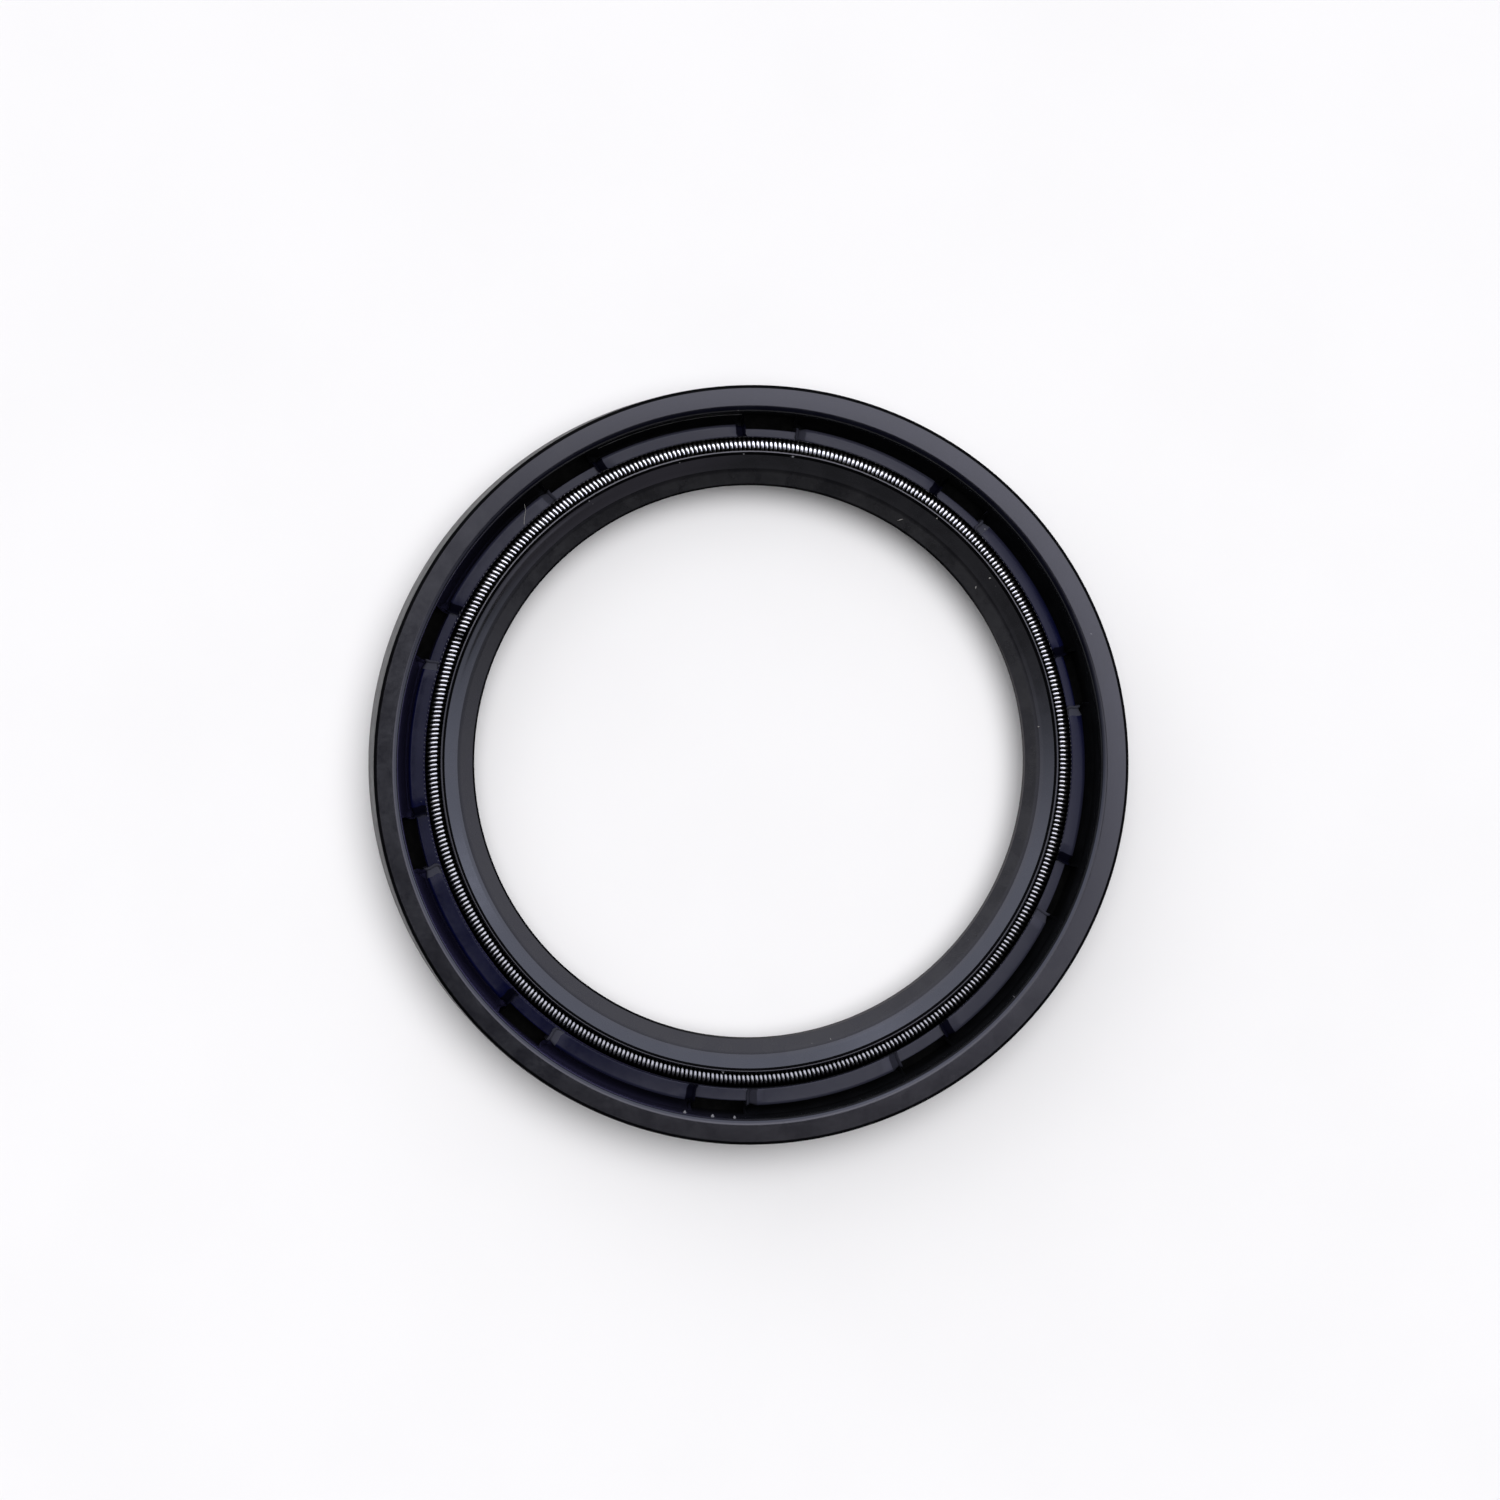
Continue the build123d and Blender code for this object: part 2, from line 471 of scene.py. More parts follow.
@dataclass(frozen=True)
class MetalFinish:
    """Bare or treated steel.

    Its painted shade darkens the side that faces its bearing: shade painted into the colour, which stays
    there whatever the lamps are.
    """

    name: str
    slot: str
    clean: Colour
    stained: Colour
    metallic: float
    gloss: float
    dull: float
    grain_depth: float = 0.0006
    shine: float = 0.5
    painted_shade_keep: float = 1.0
    painted_shade_azimuth: float = -92.0
    painted_shade_reach: float = 21.8
    painted_shade_curve: float = 0.55
    patch: float = 2.4
    grain_cell: float = 0.05
    painted_crevice_shade: float = 0.9
    crown_reach: tuple[float, float] = (0.665, 0.725)
    crown_height: tuple[float, float] = (0.52, 0.66)
    coil: tuple[float, float, float, float] | None = None

    def material(self, effects: EffectLibrary) -> bpy.types.Material:
        """Build the material.

        Args:
            effects: The shared shader node groups.

        Returns:
            The material.
        """
        made = bpy.data.materials.new(self.name)
        made.use_nodes = True
        board = NodeBoard(made.node_tree)
        shader = made.node_tree.nodes["Principled BSDF"]
        place = board.add("ShaderNodeTexCoord").outputs["Object"]
        mottle = board.add("ShaderNodeGroup", node_tree=effects.mottle)
        board.feed(mottle.inputs["Place"], place)
        board.feed(mottle.inputs["Patch"], self.patch)
        grain = board.add("ShaderNodeGroup", node_tree=effects.grain)
        board.feed(grain.inputs["Place"], place)
        board.feed(grain.inputs["Cell"], self.grain_cell)
        colour = board.mix_colour(mottle.outputs["Broad"], (*self.clean, 1.0), (*self.stained, 1.0))
        # Painted shade: the colour darkens towards the bearing, in place of shade falling there.
        along = board.reach_along(place, self.painted_shade_azimuth)
        share = board.add("ShaderNodeMapRange", {0: along, 1: -self.painted_shade_reach, 2: self.painted_shade_reach})
        painted_shade_share = board.math("POWER", share.outputs[0], self.painted_shade_curve)
        painted_shade_colour = board.mix_colour(1.0 - self.painted_shade_keep, colour, (0.0, 0.0, 0.0, 1.0))
        colour = board.mix_colour(painted_shade_share, colour, painted_shade_colour)
        # Painted shade: everything off the turns' crowns is darkened, in place of shade between and below the
        # turns.
        if self.coil:
            crevice_shaded_colour = board.mix_colour(self.painted_crevice_shade, colour, (0.0, 0.0, 0.0, 1.0))
            colour = board.mix_colour(self._crowns(board, place), crevice_shaded_colour, colour)
        board.feed(shader.inputs["Base Color"], colour)
        shader.inputs["Metallic"].default_value = self.metallic
        shader.inputs["Specular IOR Level"].default_value = self.shine
        spread = board.math("MULTIPLY", mottle.outputs["Fine"], self.dull - self.gloss)
        board.feed(shader.inputs["Roughness"], board.math("ADD", spread, self.gloss))
        height = board.math("MULTIPLY", grain.outputs["Height"], self.grain_depth)
        bump = board.add("ShaderNodeBump", {"Strength": 1.0, "Distance": MM, "Height": height})
        board.feed(shader.inputs["Normal"], bump.outputs[0])
        return made

    def _crowns(self, board: NodeBoard, place: object) -> bpy.types.NodeSocket:
        """Mask the bright crowns of a coil's turns, which stay clear of the painted shade between and below
        them.

        Args:
            board: The material's board.
            place: The socket of the object's coordinates.

        Returns:
            The mask's socket: 1 on the crowns and 0 elsewhere.
        """
        off_x, off_y, ring_radius, ring_height = self.coil
        parts = board.add("ShaderNodeSeparateXYZ", {0: place})
        across = board.math("POWER", board.math("SUBTRACT", parts.outputs[0], off_x * MM), 2.0)
        along = board.math("POWER", board.math("SUBTRACT", parts.outputs[1], off_y * MM), 2.0)
        radius = board.math("SQRT", board.math("ADD", across, along))
        outward = board.math("SUBTRACT", board.math("DIVIDE", radius, MM), ring_radius)
        upward = board.math("SUBTRACT", board.math("DIVIDE", parts.outputs[2], MM), ring_height)
        squares = board.math("ADD", board.math("POWER", outward, 2.0), board.math("POWER", upward, 2.0))
        clear = board.rise(board.math("SQRT", squares), *self.crown_reach)
        return board.math("MULTIPLY", clear, board.rise(upward, *self.crown_height))


class Finish(Enum):
    """The finishes on the seal."""

    # Painted light: the open faces turn lighter towards bearing -70.
    MOULDED = RubberFinish(
        "rubber_moulded",
        deep=(0.0010, 0.0010, 0.0040),
        bloom=(0.0022, 0.0024, 0.0056),
        shine=0.48,
        painted_light=(0.0080, 0.0075, 0.0110),
        painted_light_azimuth=-70.0,
        painted_light_start=12.0,
        painted_light_reach=25.0,
    )
    TRIMMED = RubberFinish(
        "rubber_trimmed",
        deep=(0.0045, 0.0045, 0.0055),
        bloom=(0.0070, 0.0070, 0.0080),
        shine=0.22,
        gloss=0.16,
        dull=0.24,
        line_spacing=0.10,
        line_depth=0.0005,
        dust=0.12,
    )
    # Painted light: the lip's outer face turns lighter towards bearing 120.
    LIP = RubberFinish(
        "rubber_lip",
        deep=(0.0115, 0.0115, 0.0130),
        bloom=(0.0145, 0.0145, 0.0165),
        gloss=0.16,
        dull=0.24,
        line_spacing=0.10,
        dust=0.12,
        painted_light=(0.0225, 0.0215, 0.0265),
        painted_light_azimuth=120.0,
        painted_light_start=17.5,
        painted_light_reach=20.4,
    )
    # Painted light: the cavity's faces turn lighter and bluer towards bearing -160.
    CAVITY = RubberFinish(
        "rubber_cavity",
        deep=(0.0065, 0.0070, 0.0085),
        bloom=(0.0100, 0.0105, 0.0125),
        shine=0.10,
        gloss=0.16,
        dull=0.26,
        painted_light=(0.034, 0.032, 0.080),
    )
    # Painted light: the ring's tops turn lighter towards bearings -58 and 92.
    RING = RubberFinish(
        "rubber_ring",
        deep=(0.0008, 0.0012, 0.0140),
        bloom=(0.0020, 0.0025, 0.0175),
        shine=0.12,
        gloss=0.16,
        dull=0.26,
        painted_light=(0.0225, 0.0232, 0.0350),
        painted_light_azimuth=-58.0,
        far_painted_light_azimuth=92.0,
        painted_light_start=6.0,
        painted_light_reach=23.0,
    )
    # Painted light: the outside wall turns lighter towards bearing 175.
    SIDE = RubberFinish(
        "rubber_side",
        deep=(0.022, 0.022, 0.024),
        bloom=(0.030, 0.030, 0.032),
        shine=0.2,
        gloss=0.45,
        dull=0.60,
        grain_depth=0.0012,
        painted_light=(0.060, 0.060, 0.062),
        painted_light_azimuth=175.0,
        painted_light_start=14.0,
        painted_light_reach=26.0,
    )
    # Painted shade: near-black, for the dark line at the land's outer edge and the shade inside the spring
    # groove.
    EDGE = RubberFinish(
        "rubber_shaded_edge",
        deep=(0.0015, 0.0015, 0.0018),
        bloom=(0.0025, 0.0025, 0.0030),
        shine=0.01,
        gloss=0.25,
        dull=0.35,
    )
    # Painted shade: a near-black line along the sealing edge, turned lighter towards bearing -35 as painted
    # light.
    SHADED_BRINK = RubberFinish(
        "rubber_shaded_brink",
        deep=(0.0015, 0.0015, 0.0018),
        bloom=(0.0025, 0.0025, 0.0030),
        shine=0.01,
        gloss=0.25,
        dull=0.35,
        painted_light=(0.060, 0.058, 0.062),
        painted_light_azimuth=-35.0,
        painted_light_start=4.0,
        painted_light_reach=16.0,
    )
    # Painted shadow: near-black on the notches' step faces and eased edges, turned lighter as painted light
    # towards bearing 10 on the near ones and -163 on the far ones.
    NEAR_NOTCH = RubberFinish(
        "rubber_shaded_near_notch",
        deep=(0.0010, 0.0010, 0.0030),
        bloom=(0.0015, 0.0015, 0.0045),
        shine=0.01,
        gloss=0.25,
        dull=0.35,
        painted_light=(0.036, 0.037, 0.050),
        painted_light_azimuth=10.0,
        painted_light_start=0.0,
        painted_light_reach=14.0,
    )
    SHADED_FAR_NOTCH = replace(NEAR_NOTCH, name="rubber_shaded_far_notch", painted_light_azimuth=-163.0)
    # Painted highlight: the rim's top turns lighter towards bearing 90.
    RIM = RubberFinish(
        "rubber_rim_painted_light",
        deep=(0.0015, 0.0015, 0.0025),
        bloom=(0.0025, 0.0025, 0.0035),
        shine=0.45,
        painted_light=(0.058, 0.056, 0.062),
        painted_light_azimuth=90.0,
        painted_light_start=4.0,
        painted_light_reach=14.0,
    )
    # Painted shadow: a near-black line on the step inside the rim, turned lighter towards bearing -90 as
    # painted light.
    SHADED_STEP = RubberFinish(
        "rubber_shaded_step",
        deep=(0.0015, 0.0015, 0.0020),
        bloom=(0.0025, 0.0025, 0.0030),
        shine=0.02,
        painted_light=(0.075, 0.074, 0.088),
        painted_light_azimuth=-90.0,
        painted_light_start=-7.0,
        painted_light_reach=2.0,
    )
    FLASH = RubberFinish(
        "rubber_flash",
        deep=(0.07, 0.07, 0.075),
        bloom=(0.12, 0.12, 0.13),
        gloss=0.35,
        dull=0.45,
    )
    # Painted highlight: a light bead at the top of the root slope, in place of a highlight streak there.
    SEAM = RubberFinish(
        "rubber_painted_streak",
        deep=(0.020, 0.020, 0.020),
        bloom=(0.035, 0.035, 0.034),
        gloss=0.3,
        dull=0.45,
    )
    SCUFF = RubberFinish(
        "rubber_scuff",
        deep=(0.05, 0.05, 0.055),
        bloom=(0.09, 0.09, 0.10),
        gloss=0.3,
        dull=0.45,
    )
    # Painted shade: the wire darkens towards bearing -92 and between and below its turns.
    WIRE = MetalFinish(
        "spring_wire",
        "spring_wire",
        clean=(0.92, 0.91, 0.87),
        stained=(0.78, 0.77, 0.75),
        metallic=1.0,
        gloss=0.16,
        dull=0.24,
        painted_shade_keep=0.24,
        coil=(0.06, 0.165, 21.83, 3.90),
    )
    CASE = MetalFinish(
        "phosphated_steel",
        "case_steel",
        clean=(0.0012, 0.0013, 0.0015),
        stained=(0.0022, 0.0022, 0.0022),
        metallic=0.0,
        gloss=0.7,
        dull=0.85,
        shine=0.06,
    )
    LINT = RubberFinish(
        "lint",
        deep=(0.18, 0.175, 0.165),
        bloom=(0.27, 0.26, 0.245),
        gloss=0.5,
        dull=0.6,
        dust=0.0,
    )


class Zone(Enum):
    """The rubber's faces by where they lie."""

    OPEN = 0
    TRIMMED = 1
    LIP = 2
    CAVITY = 3
    SIDE = 4
    RING = 5
    EDGE = 6
    SHADED_STEP = 7
    SHADED_BRINK = 8
    NEAR_NOTCH = 9
    SHADED_FAR_NOTCH = 10
    RIM = 11

    @property
    def socket(self) -> str:
        """Return the name of the node tree's input for the zone's material."""
        return self.name.title()

    @property
    def finish(self) -> Finish:
        """Return the zone's finish, which is named like it apart from the open faces'."""
        return Finish.MOULDED if self is Zone.OPEN else Finish[self.name]


class FinishShelf:
    """Builds each finish's material the first time that it is asked for."""

    def __init__(self, effects: EffectLibrary) -> None:
        """Keep the shared effects, with no material made yet."""
        self.effects = effects
        self.made: dict[Finish, bpy.types.Material] = {}

    def get(self, finish: Finish) -> bpy.types.Material:
        """Return the finish's material."""
        if finish not in self.made:
            self.made[finish] = finish.value.material(self.effects)
        return self.made[finish]


# ---------------------------------------------------------------- pieces


def mesh_object(name: str, mesh: bpy.types.Mesh) -> bpy.types.Object:
    """Put a mesh into the scene as an object at the origin and return it."""
    made = bpy.data.objects.new(name, mesh)
    bpy.context.scene.collection.objects.link(made)
    return made


def plain_copy(source: bpy.types.Object, name: str) -> bpy.types.Object:
    """Turn an object with a node tree on it into a plain mesh, and remove the source.

    Args:
        source: The object with the modifier.
        name: The plain object's name.

    Returns:
        The plain object.
    """
    graph = bpy.context.evaluated_depsgraph_get()
    mesh = bpy.data.meshes.new_from_object(source.evaluated_get(graph))
    old_mesh = source.data
    bpy.data.objects.remove(source)
    bpy.data.meshes.remove(old_mesh)
    mesh.name = name
    return mesh_object(name, mesh)


def turn_outward(mesh: bpy.types.Mesh) -> None:
    """Turn a mesh's faces outward."""
    shell = bmesh.new()
    shell.from_mesh(mesh)
    bmesh.ops.recalc_face_normals(shell, faces=shell.faces[:])
    shell.to_mesh(mesh)
    shell.free()


def shape_group(name: str, inputs: dict[str, str], output: str) -> tuple[NodeBoard, object]:
    """Start a geometry node group.

    Args:
        name: The group's name.
        inputs: The kind of each input's socket by the input's name.
        output: The name of its one output, a geometry.

    Returns:
        The group's board and the sockets that it is given.
    """
    tree = bpy.data.node_groups.new(name, "GeometryNodeTree")
    for label, kind in inputs.items():
        tree.interface.new_socket(label, in_out="INPUT", socket_type=f"NodeSocket{kind}")
    tree.interface.new_socket(output, in_out="OUTPUT", socket_type="NodeSocketGeometry")
    board = NodeBoard(tree)
    return board, board.add("NodeGroupInput").outputs


def set_inputs(modifier: bpy.types.Modifier, values: dict[str, object]) -> None:
    """Set a node modifier's inputs by the identifiers of their sockets.

    Args:
        modifier: The modifier.
        values: Values by socket name.
    """
    for item in modifier.node_group.interface.items_tree:
        if item.item_type == "SOCKET" and item.in_out == "INPUT" and item.name in values:
            modifier[item.identifier] = values[item.name]


@dataclass
class MouldShift:
    """How far the seal's rings stand off the case's axis, and how the soft faces waver.

    The head's and the spring's shifts lie across the camera's tilt. The wall's, the shoulder's and the
    mouth's lean lie along it, so they may stand for small errors in height.
    """

    head: Point = (0.08, 0.19)
    mouth: Point = (0.0, 0.12)
    shoulder: Point = (-0.135, -0.02)
    wall: Point = (-0.10, 0.0)
    edge: Point = (0.01, 0.015)
    spring: Point = (0.06, 0.165)
    root_height: float = 1.3
    full_height: float = 3.2
    waver: float = 0.006
    waver_cell: float = 3.5
    droop: float = 0.20
    droop_azimuth: float = 20.0
    bow: float = 0.08
    lift: float = 0.045
    lift_azimuth: float = -80.0
    swing: float = 0.85
    swing_azimuth: float = 40.0
    ridge_azimuth: float = 140.0
    ridge_radius: float = 20.80
    ridge_width: float = 0.13
    ridge_height: float = 0.060
    mouth_lean: Point = (-0.115, 0.0)
    mouth_flare: float = 0.04
    head_end: float = 21.6
    mouth_radius: float = 22.33
    shoulder_span: Point = (23.1, 23.5)
    wall_span: Point = (24.0, 24.75)
    still_radius: float = 25.3
    edge_span: Point = (25.8, 30.0)
    ring_span: Point = (22.3, 23.4)
    ring_foot: float = 4.5
    ring_width: float = 1.03
    trimmed_span: Point = (20.2, 21.2)
    trimmed_foot: float = 4.2
    ridge_arc: float = 20.0
    cover_radius: float = 24.5
    cover_span: Point = (0.4, 6.4)
    waver_end: float = 24.0
    lean_start: float = 22.2
    lean_rise: Point = (4.7, 5.2)
    lean_fall: Point = (22.5, 23.0)
    swing_rise: Point = (22.0, 22.6)

    def _at_radius(self, radius: float) -> Vector:
        """Return the shift at a radius, high up on the seal."""
        stations = (
            (0.0, self.head),
            (self.head_end, self.head),
            (self.mouth_radius, self.mouth),
            (self.shoulder_span[0], self.shoulder),
            (self.shoulder_span[1], self.shoulder),
            (self.wall_span[0], self.wall),
            (self.wall_span[1], self.wall),
            (self.still_radius, (0.0, 0.0)),
            (self.edge_span[0], self.edge),
            (self.edge_span[1], self.edge),
        )
        for (low, first), (high, second) in pairwise(stations):
            if radius < high:
                share = smooth_step(low, high, radius)
                return Vector(first).lerp(Vector(second), share).to_3d()
        return Vector((0, 0, 0))

    def _slumped(self, place: Vector, radius: float) -> Vector:
        """Return how the ring's shoulder droops and how the trimming left the rim's foot."""
        azimuth = math.atan2(place.y, place.x)
        if self.ring_span[0] < radius < self.ring_span[1] and place.z > self.ring_foot:
            facing = math.cos(azimuth - math.radians(self.droop_azimuth))
            reach = (radius - self.ring_span[0]) / self.ring_width
            drooped = self.droop * max(facing, 0.0) ** 2 * reach**2
            bowed = self.bow * max(-facing, 0.0) * (2 * reach - reach**2)
            lifted = self.lift * max(math.cos(azimuth - math.radians(self.lift_azimuth)), 0.0) * reach
            return Vector((0, 0, lifted - drooped - bowed))
        if self.trimmed_span[0] < radius < self.trimmed_span[1] and place.z > self.trimmed_foot:
            off = math.degrees(math.remainder(azimuth - math.radians(self.ridge_azimuth), 2 * math.pi))
            across = (radius - self.ridge_radius) / self.ridge_width
            ridge = math.exp(-(across**2)) * self.ridge_height * math.exp(-((off / self.ridge_arc) ** 4))
            return Vector((0, 0, ridge))
        return Vector((0, 0, 0))

    def moved(self, place: Vector) -> Vector:
        """Move one point of the seal.

        Args:
            place: The point, in millimetres.

        Returns:
            The point where it lies after the shifts.
        """
        radius = math.hypot(place.x, place.y)
        if radius > self.cover_radius and self.cover_span[0] < place.z < self.cover_span[1]:
            return place
        share = smooth_step(self.root_height, self.full_height, place.z)
        ripple = noise.noise(place / self.waver_cell) * self.waver * share * (radius < self.waver_end)
        outward = Vector((place.x, place.y, 0)).normalized()
        place = place + self._slumped(place, radius)
        if radius > self.lean_start:
            leaning = smooth_step(*self.lean_rise, place.z) * (1 - smooth_step(*self.lean_fall, radius))
            place = place + (Vector(self.mouth_lean).to_3d() + outward * self.mouth_flare) * leaning
        facing = math.cos(math.atan2(place.y, place.x) - math.radians(self.swing_azimuth))
        turn = math.radians(self.swing) * facing * share * smooth_step(*self.swing_rise, radius)
        place = Matrix.Rotation(turn, 3, "Z") @ place
        return place + self._at_radius(radius) * share + outward * ripple + Vector((0, 0, ripple))


@dataclass
class RubberBody:
    """The moulded body: cover, flex neck, lip head with its spring groove, segmented ring and dust lip."""

    shelf: FinishShelf
    shift: MouldShift
    segments: int = 10
    first_pad: float = 13.7
    pad_arc: float = 8.8
    long_columns: int = 8
    short_columns: int = 6
    edge_ease: float = 0.20
    edge_share: float = 0.45
    housing_radius: float = 26.0
    width: float = 7.0
    land_crown: float = 0.012
    wall_inner: float = 24.20
    wall_foot: float = 24.10
    wall_rounding: float = 0.40
    slope_top: float = 4.35
    slope_foot: float = 23.45
    cavity_floor: float = 1.75
    flange_top: float = 1.25
    ring_outer: float = 23.37
    short_outer: float = 23.06
    ring_top: float = 5.50
    short_top: float = 5.15
    groove_circle: float = 21.85
    groove_height: float = 3.90
    groove_radius: float = 0.78
    mouth_half: float = 0.48
    rim_top: float = 4.90
    rim_inner: float = 21.28
    lip_radius: float = 19.0
    lip_height: float = 4.05
    trimmed_width: float = 1.10
    neck_outer: float = 21.20
    neck_height: float = 2.30
    valley: Point = (20.25, 1.57)
    dust_radius: float = 19.8
    dust_height: float = 0.62
    air_face_inner: float = 20.85
    groove_steps: int = 26
    fine_span: Point = (20.1, 21.2)
    fine_foot: float = 4.15
    fine_step: float = 0.035
    ease_turns: tuple[float, ...] = (0.0, 22.5, 45.0, 67.5, 90.0)
    case_section: tuple[Corner, ...] = (
        (21.2, 0.45, 0.0),
        (25.47, 0.45, 1.2),
        (25.47, 6.35, 0.0),
        (24.67, 6.35, 0.0),
    )
    side_depth: float = 0.23
    edge_depth: float = 0.21
    base_height: float = 1.0
    bore_radius: float = 20.9
    brink_width: float = 0.19
    brink_depth: float = 0.14
    rim_depth: float = 0.08
    nick_size: float = 0.17
    trim_margin: float = 0.01
    ring_margin: float = 0.05
    ring_depth: float = 0.12
    wall_margin: float = 0.13
    weld: float = 0.0003
    sharp_angle: float = 28.0

    def _wall_run(self) -> list[Point]:
        """Trace from the middle of the air side face, over the outside and the land, to the wall's foot."""
        return rounded_run(
            [
                (23.2, 0.0, 0.0),
                (self.housing_radius - 0.35, 0.0, 0.15),
                (self.housing_radius, 0.9, 0.3),
                (self.housing_radius, self.width - 0.8, 0.3),
                (self.housing_radius - 0.035, self.width - self.land_crown, 0.19),
                (25.1, self.width, 0.0),
                (self.wall_inner, self.width, self.wall_rounding),
                (self.wall_foot + 0.004, self.slope_top + 0.1, 0.0),
            ]
        )

    def _slope_runs(self) -> tuple[list[Point], list[Point]]:
        """Trace the root slope behind a long segment and the pocket behind a short one, down to the steel."""
        start = (self.wall_foot + 0.004, self.slope_top + 0.1)
        slope = rounded_run(
            [
                (*start, 0.0),
                (self.wall_foot, self.slope_top, 0.3),
                (self.slope_foot, self.cavity_floor, 0.3),
                (self.short_outer, self.cavity_floor, 0.0),
            ]
        )[:-1]
        wall = [start, (self.wall_foot, self.slope_top), (self.wall_foot, self.flange_top)]
        slope, wall = matched(divided(slope, 0.6), divided(wall, 0.6))
        slope += [(self.short_outer, self.cavity_floor)] * 2
        wall += [(self.short_outer, self.flange_top), (self.short_outer, self.cavity_floor)]
        return slope, wall

    def _neck_run(self) -> list[Point]:
        """Trace from the cavity's floor up the neck to the underside of the ring."""
        underside = self.groove_height - 0.6
        rise = (underside - self.neck_height) / (self.ring_outer - self.neck_outer)
        meets = self.neck_height + (self.short_outer - self.neck_outer) * rise
        return rounded_run(
            [
                (self.short_outer, self.cavity_floor, 0.0),
                (self.neck_outer, self.cavity_floor, 0.3),
                (self.neck_outer, self.neck_height, 0.4),
                (self.short_outer, meets, 0.0),
            ]
        )

    def _ring_runs(self) -> tuple[list[Point], list[Point]]:
        """Trace the outside and top of a long segment and of a short one."""
        start = self._neck_run()[-1]
        mouth = self.groove_circle + self.mouth_half
        end = (mouth, self.short_top - 0.1)
        long_run = rounded_run(
            [
                (*start, 0.0),
                (self.ring_outer, self.groove_height - 0.6, 0.15),
                (self.ring_outer, self.ring_top, 0.20),
                (mouth, self.ring_top, 0.06),
                (*end, 0.0),
            ]
        )
        short_run = rounded_run(
            [
                (*start, 0.0),
                (self.short_outer, self.short_top, 0.06),
                (mouth, self.short_top, 0.05),
                (*end, 0.0),
            ]
        )
        return matched(divided(long_run, 0.2), short_run)

    def _head_run(self) -> list[Point]:
        """Trace the groove, the rim, the sealing lip and the dust lip, back to the air side face."""
        rise = math.sqrt(self.groove_radius**2 - self.mouth_half**2)
        opening = math.atan2(rise, self.mouth_half)
        sweep = 2 * math.pi - (math.pi - 2 * opening)
        groove = []
        for step in range(self.groove_steps + 1):
            angle = opening - sweep * step / self.groove_steps
            groove.append(
                (
                    self.groove_circle + self.groove_radius * math.cos(angle),
                    self.groove_height + self.groove_radius * math.sin(angle),
                )
            )
        start = (self.groove_circle + self.mouth_half, self.short_top - 0.1)
        cut_foot = (self.lip_radius + 1.18, self.lip_height + 0.13, 1.1)
        lip = rounded_run(
            [
                (*groove[-1], 0.0),
                (self.groove_circle - self.mouth_half, self.rim_top - 0.04, 0.04),
                (self.rim_inner, self.rim_top - 0.02, 0.03),
                (self.rim_inner - 0.17, self.rim_top - 0.16, 0.0),
                cut_foot,
                (self.lip_radius, self.lip_height, 0.12),
                (self.lip_radius, self.lip_height - 0.13, 0.0),
                (*self.valley, 0.25),
                (self.dust_radius, self.dust_height, 0.0),
                (self.dust_radius, self.dust_height - 0.12, 0.0),
                (20.5, 0.8, 0.12),
                (self.air_face_inner, 0.0, 0.1),
                (23.2, 0.0, 0.0),
            ]
        )
        fine: list[Point] = []
        for here, after in pairwise(lip[1:]):
            inner, outer = sorted((here[0], after[0]))
            on_lip = self.fine_span[0] < inner and outer < self.fine_span[1]
            on_lip = on_lip and min(here[1], after[1]) > self.fine_foot
            fine += divided([here, after], self.fine_step)[:-1] if on_lip else [here]
        return [start, *groove, *fine, lip[-1]]

    def _outlines(self) -> tuple[list[Point], list[Point], int]:
        """Trace the whole section through a long segment and through a short one.

        Returns:
            Both closed outlines, point for point, and the number of the point where the steel shows first.
        """
        wall = divided(self._wall_run(), 0.9)
        slope, pocket = self._slope_runs()
        neck = divided(self._neck_run(), 0.7)
        long_ring, short_ring = self._ring_runs()
        head = divided(self._head_run(), 0.5)
        window = len(wall) - 1 + len(pocket) - 3
        long_outline = wall[:-1] + slope[:-1] + neck[:-1] + long_ring[:-1] + head[:-1]
        short_outline = wall[:-1] + pocket[:-1] + neck[:-1] + short_ring[:-1] + head[:-1]
        return long_outline, short_outline, window

    def _case_outline(self) -> tuple[list[Point], int]:
        """Trace the space that the steel case fills.

        Returns:
            The closed outline, and the number of the point where a pocket opens on to the steel.
        """
        before = rounded_run(
            [
                (self.case_section[0][0], self.flange_top, 0.0),
                *self.case_section,
                (self.case_section[-1][0], self.flange_top, 0.4),
                (self.wall_foot, self.flange_top, 0.0),
            ]
        )
        return [*before, (self.short_outer, self.flange_top)], len(before) - 1

    def _columns(self) -> list[tuple[float, float]]:
        """List the columns of one sector: each one's angle in degrees and its share of the short outline."""
        half, pad = 180 / self.segments, self.pad_arc / 2
        ease = math.degrees(self.edge_ease / self.ring_outer)
        run = half - pad
        left = [(-half + run * step / self.long_columns, 0.0) for step in range(self.long_columns)]
        for turn in self.ease_turns:
            share = self.edge_share * (1 - math.cos(math.radians(90 - turn)))
            left.append((-pad - ease * math.cos(math.radians(turn)), share))
        middle = [
            (-pad + 2 * pad * step / self.short_columns, 1.0) for step in range(self.short_columns + 1)
        ]
        return left + middle + [(-angle, share) for angle, share in reversed(left)]

    def _sector(self) -> bpy.types.Object:
        """Build one tenth of the body, with a short segment in its middle."""
        long_outline, short_outline, window = self._outlines()
        case, case_window = self._case_outline()
        count = len(long_outline)
        shell = bmesh.new()
        zone = shell.faces.layers.int.new("zone")
        corners: dict[tuple[int, int, int], bmesh.types.BMVert] = {}

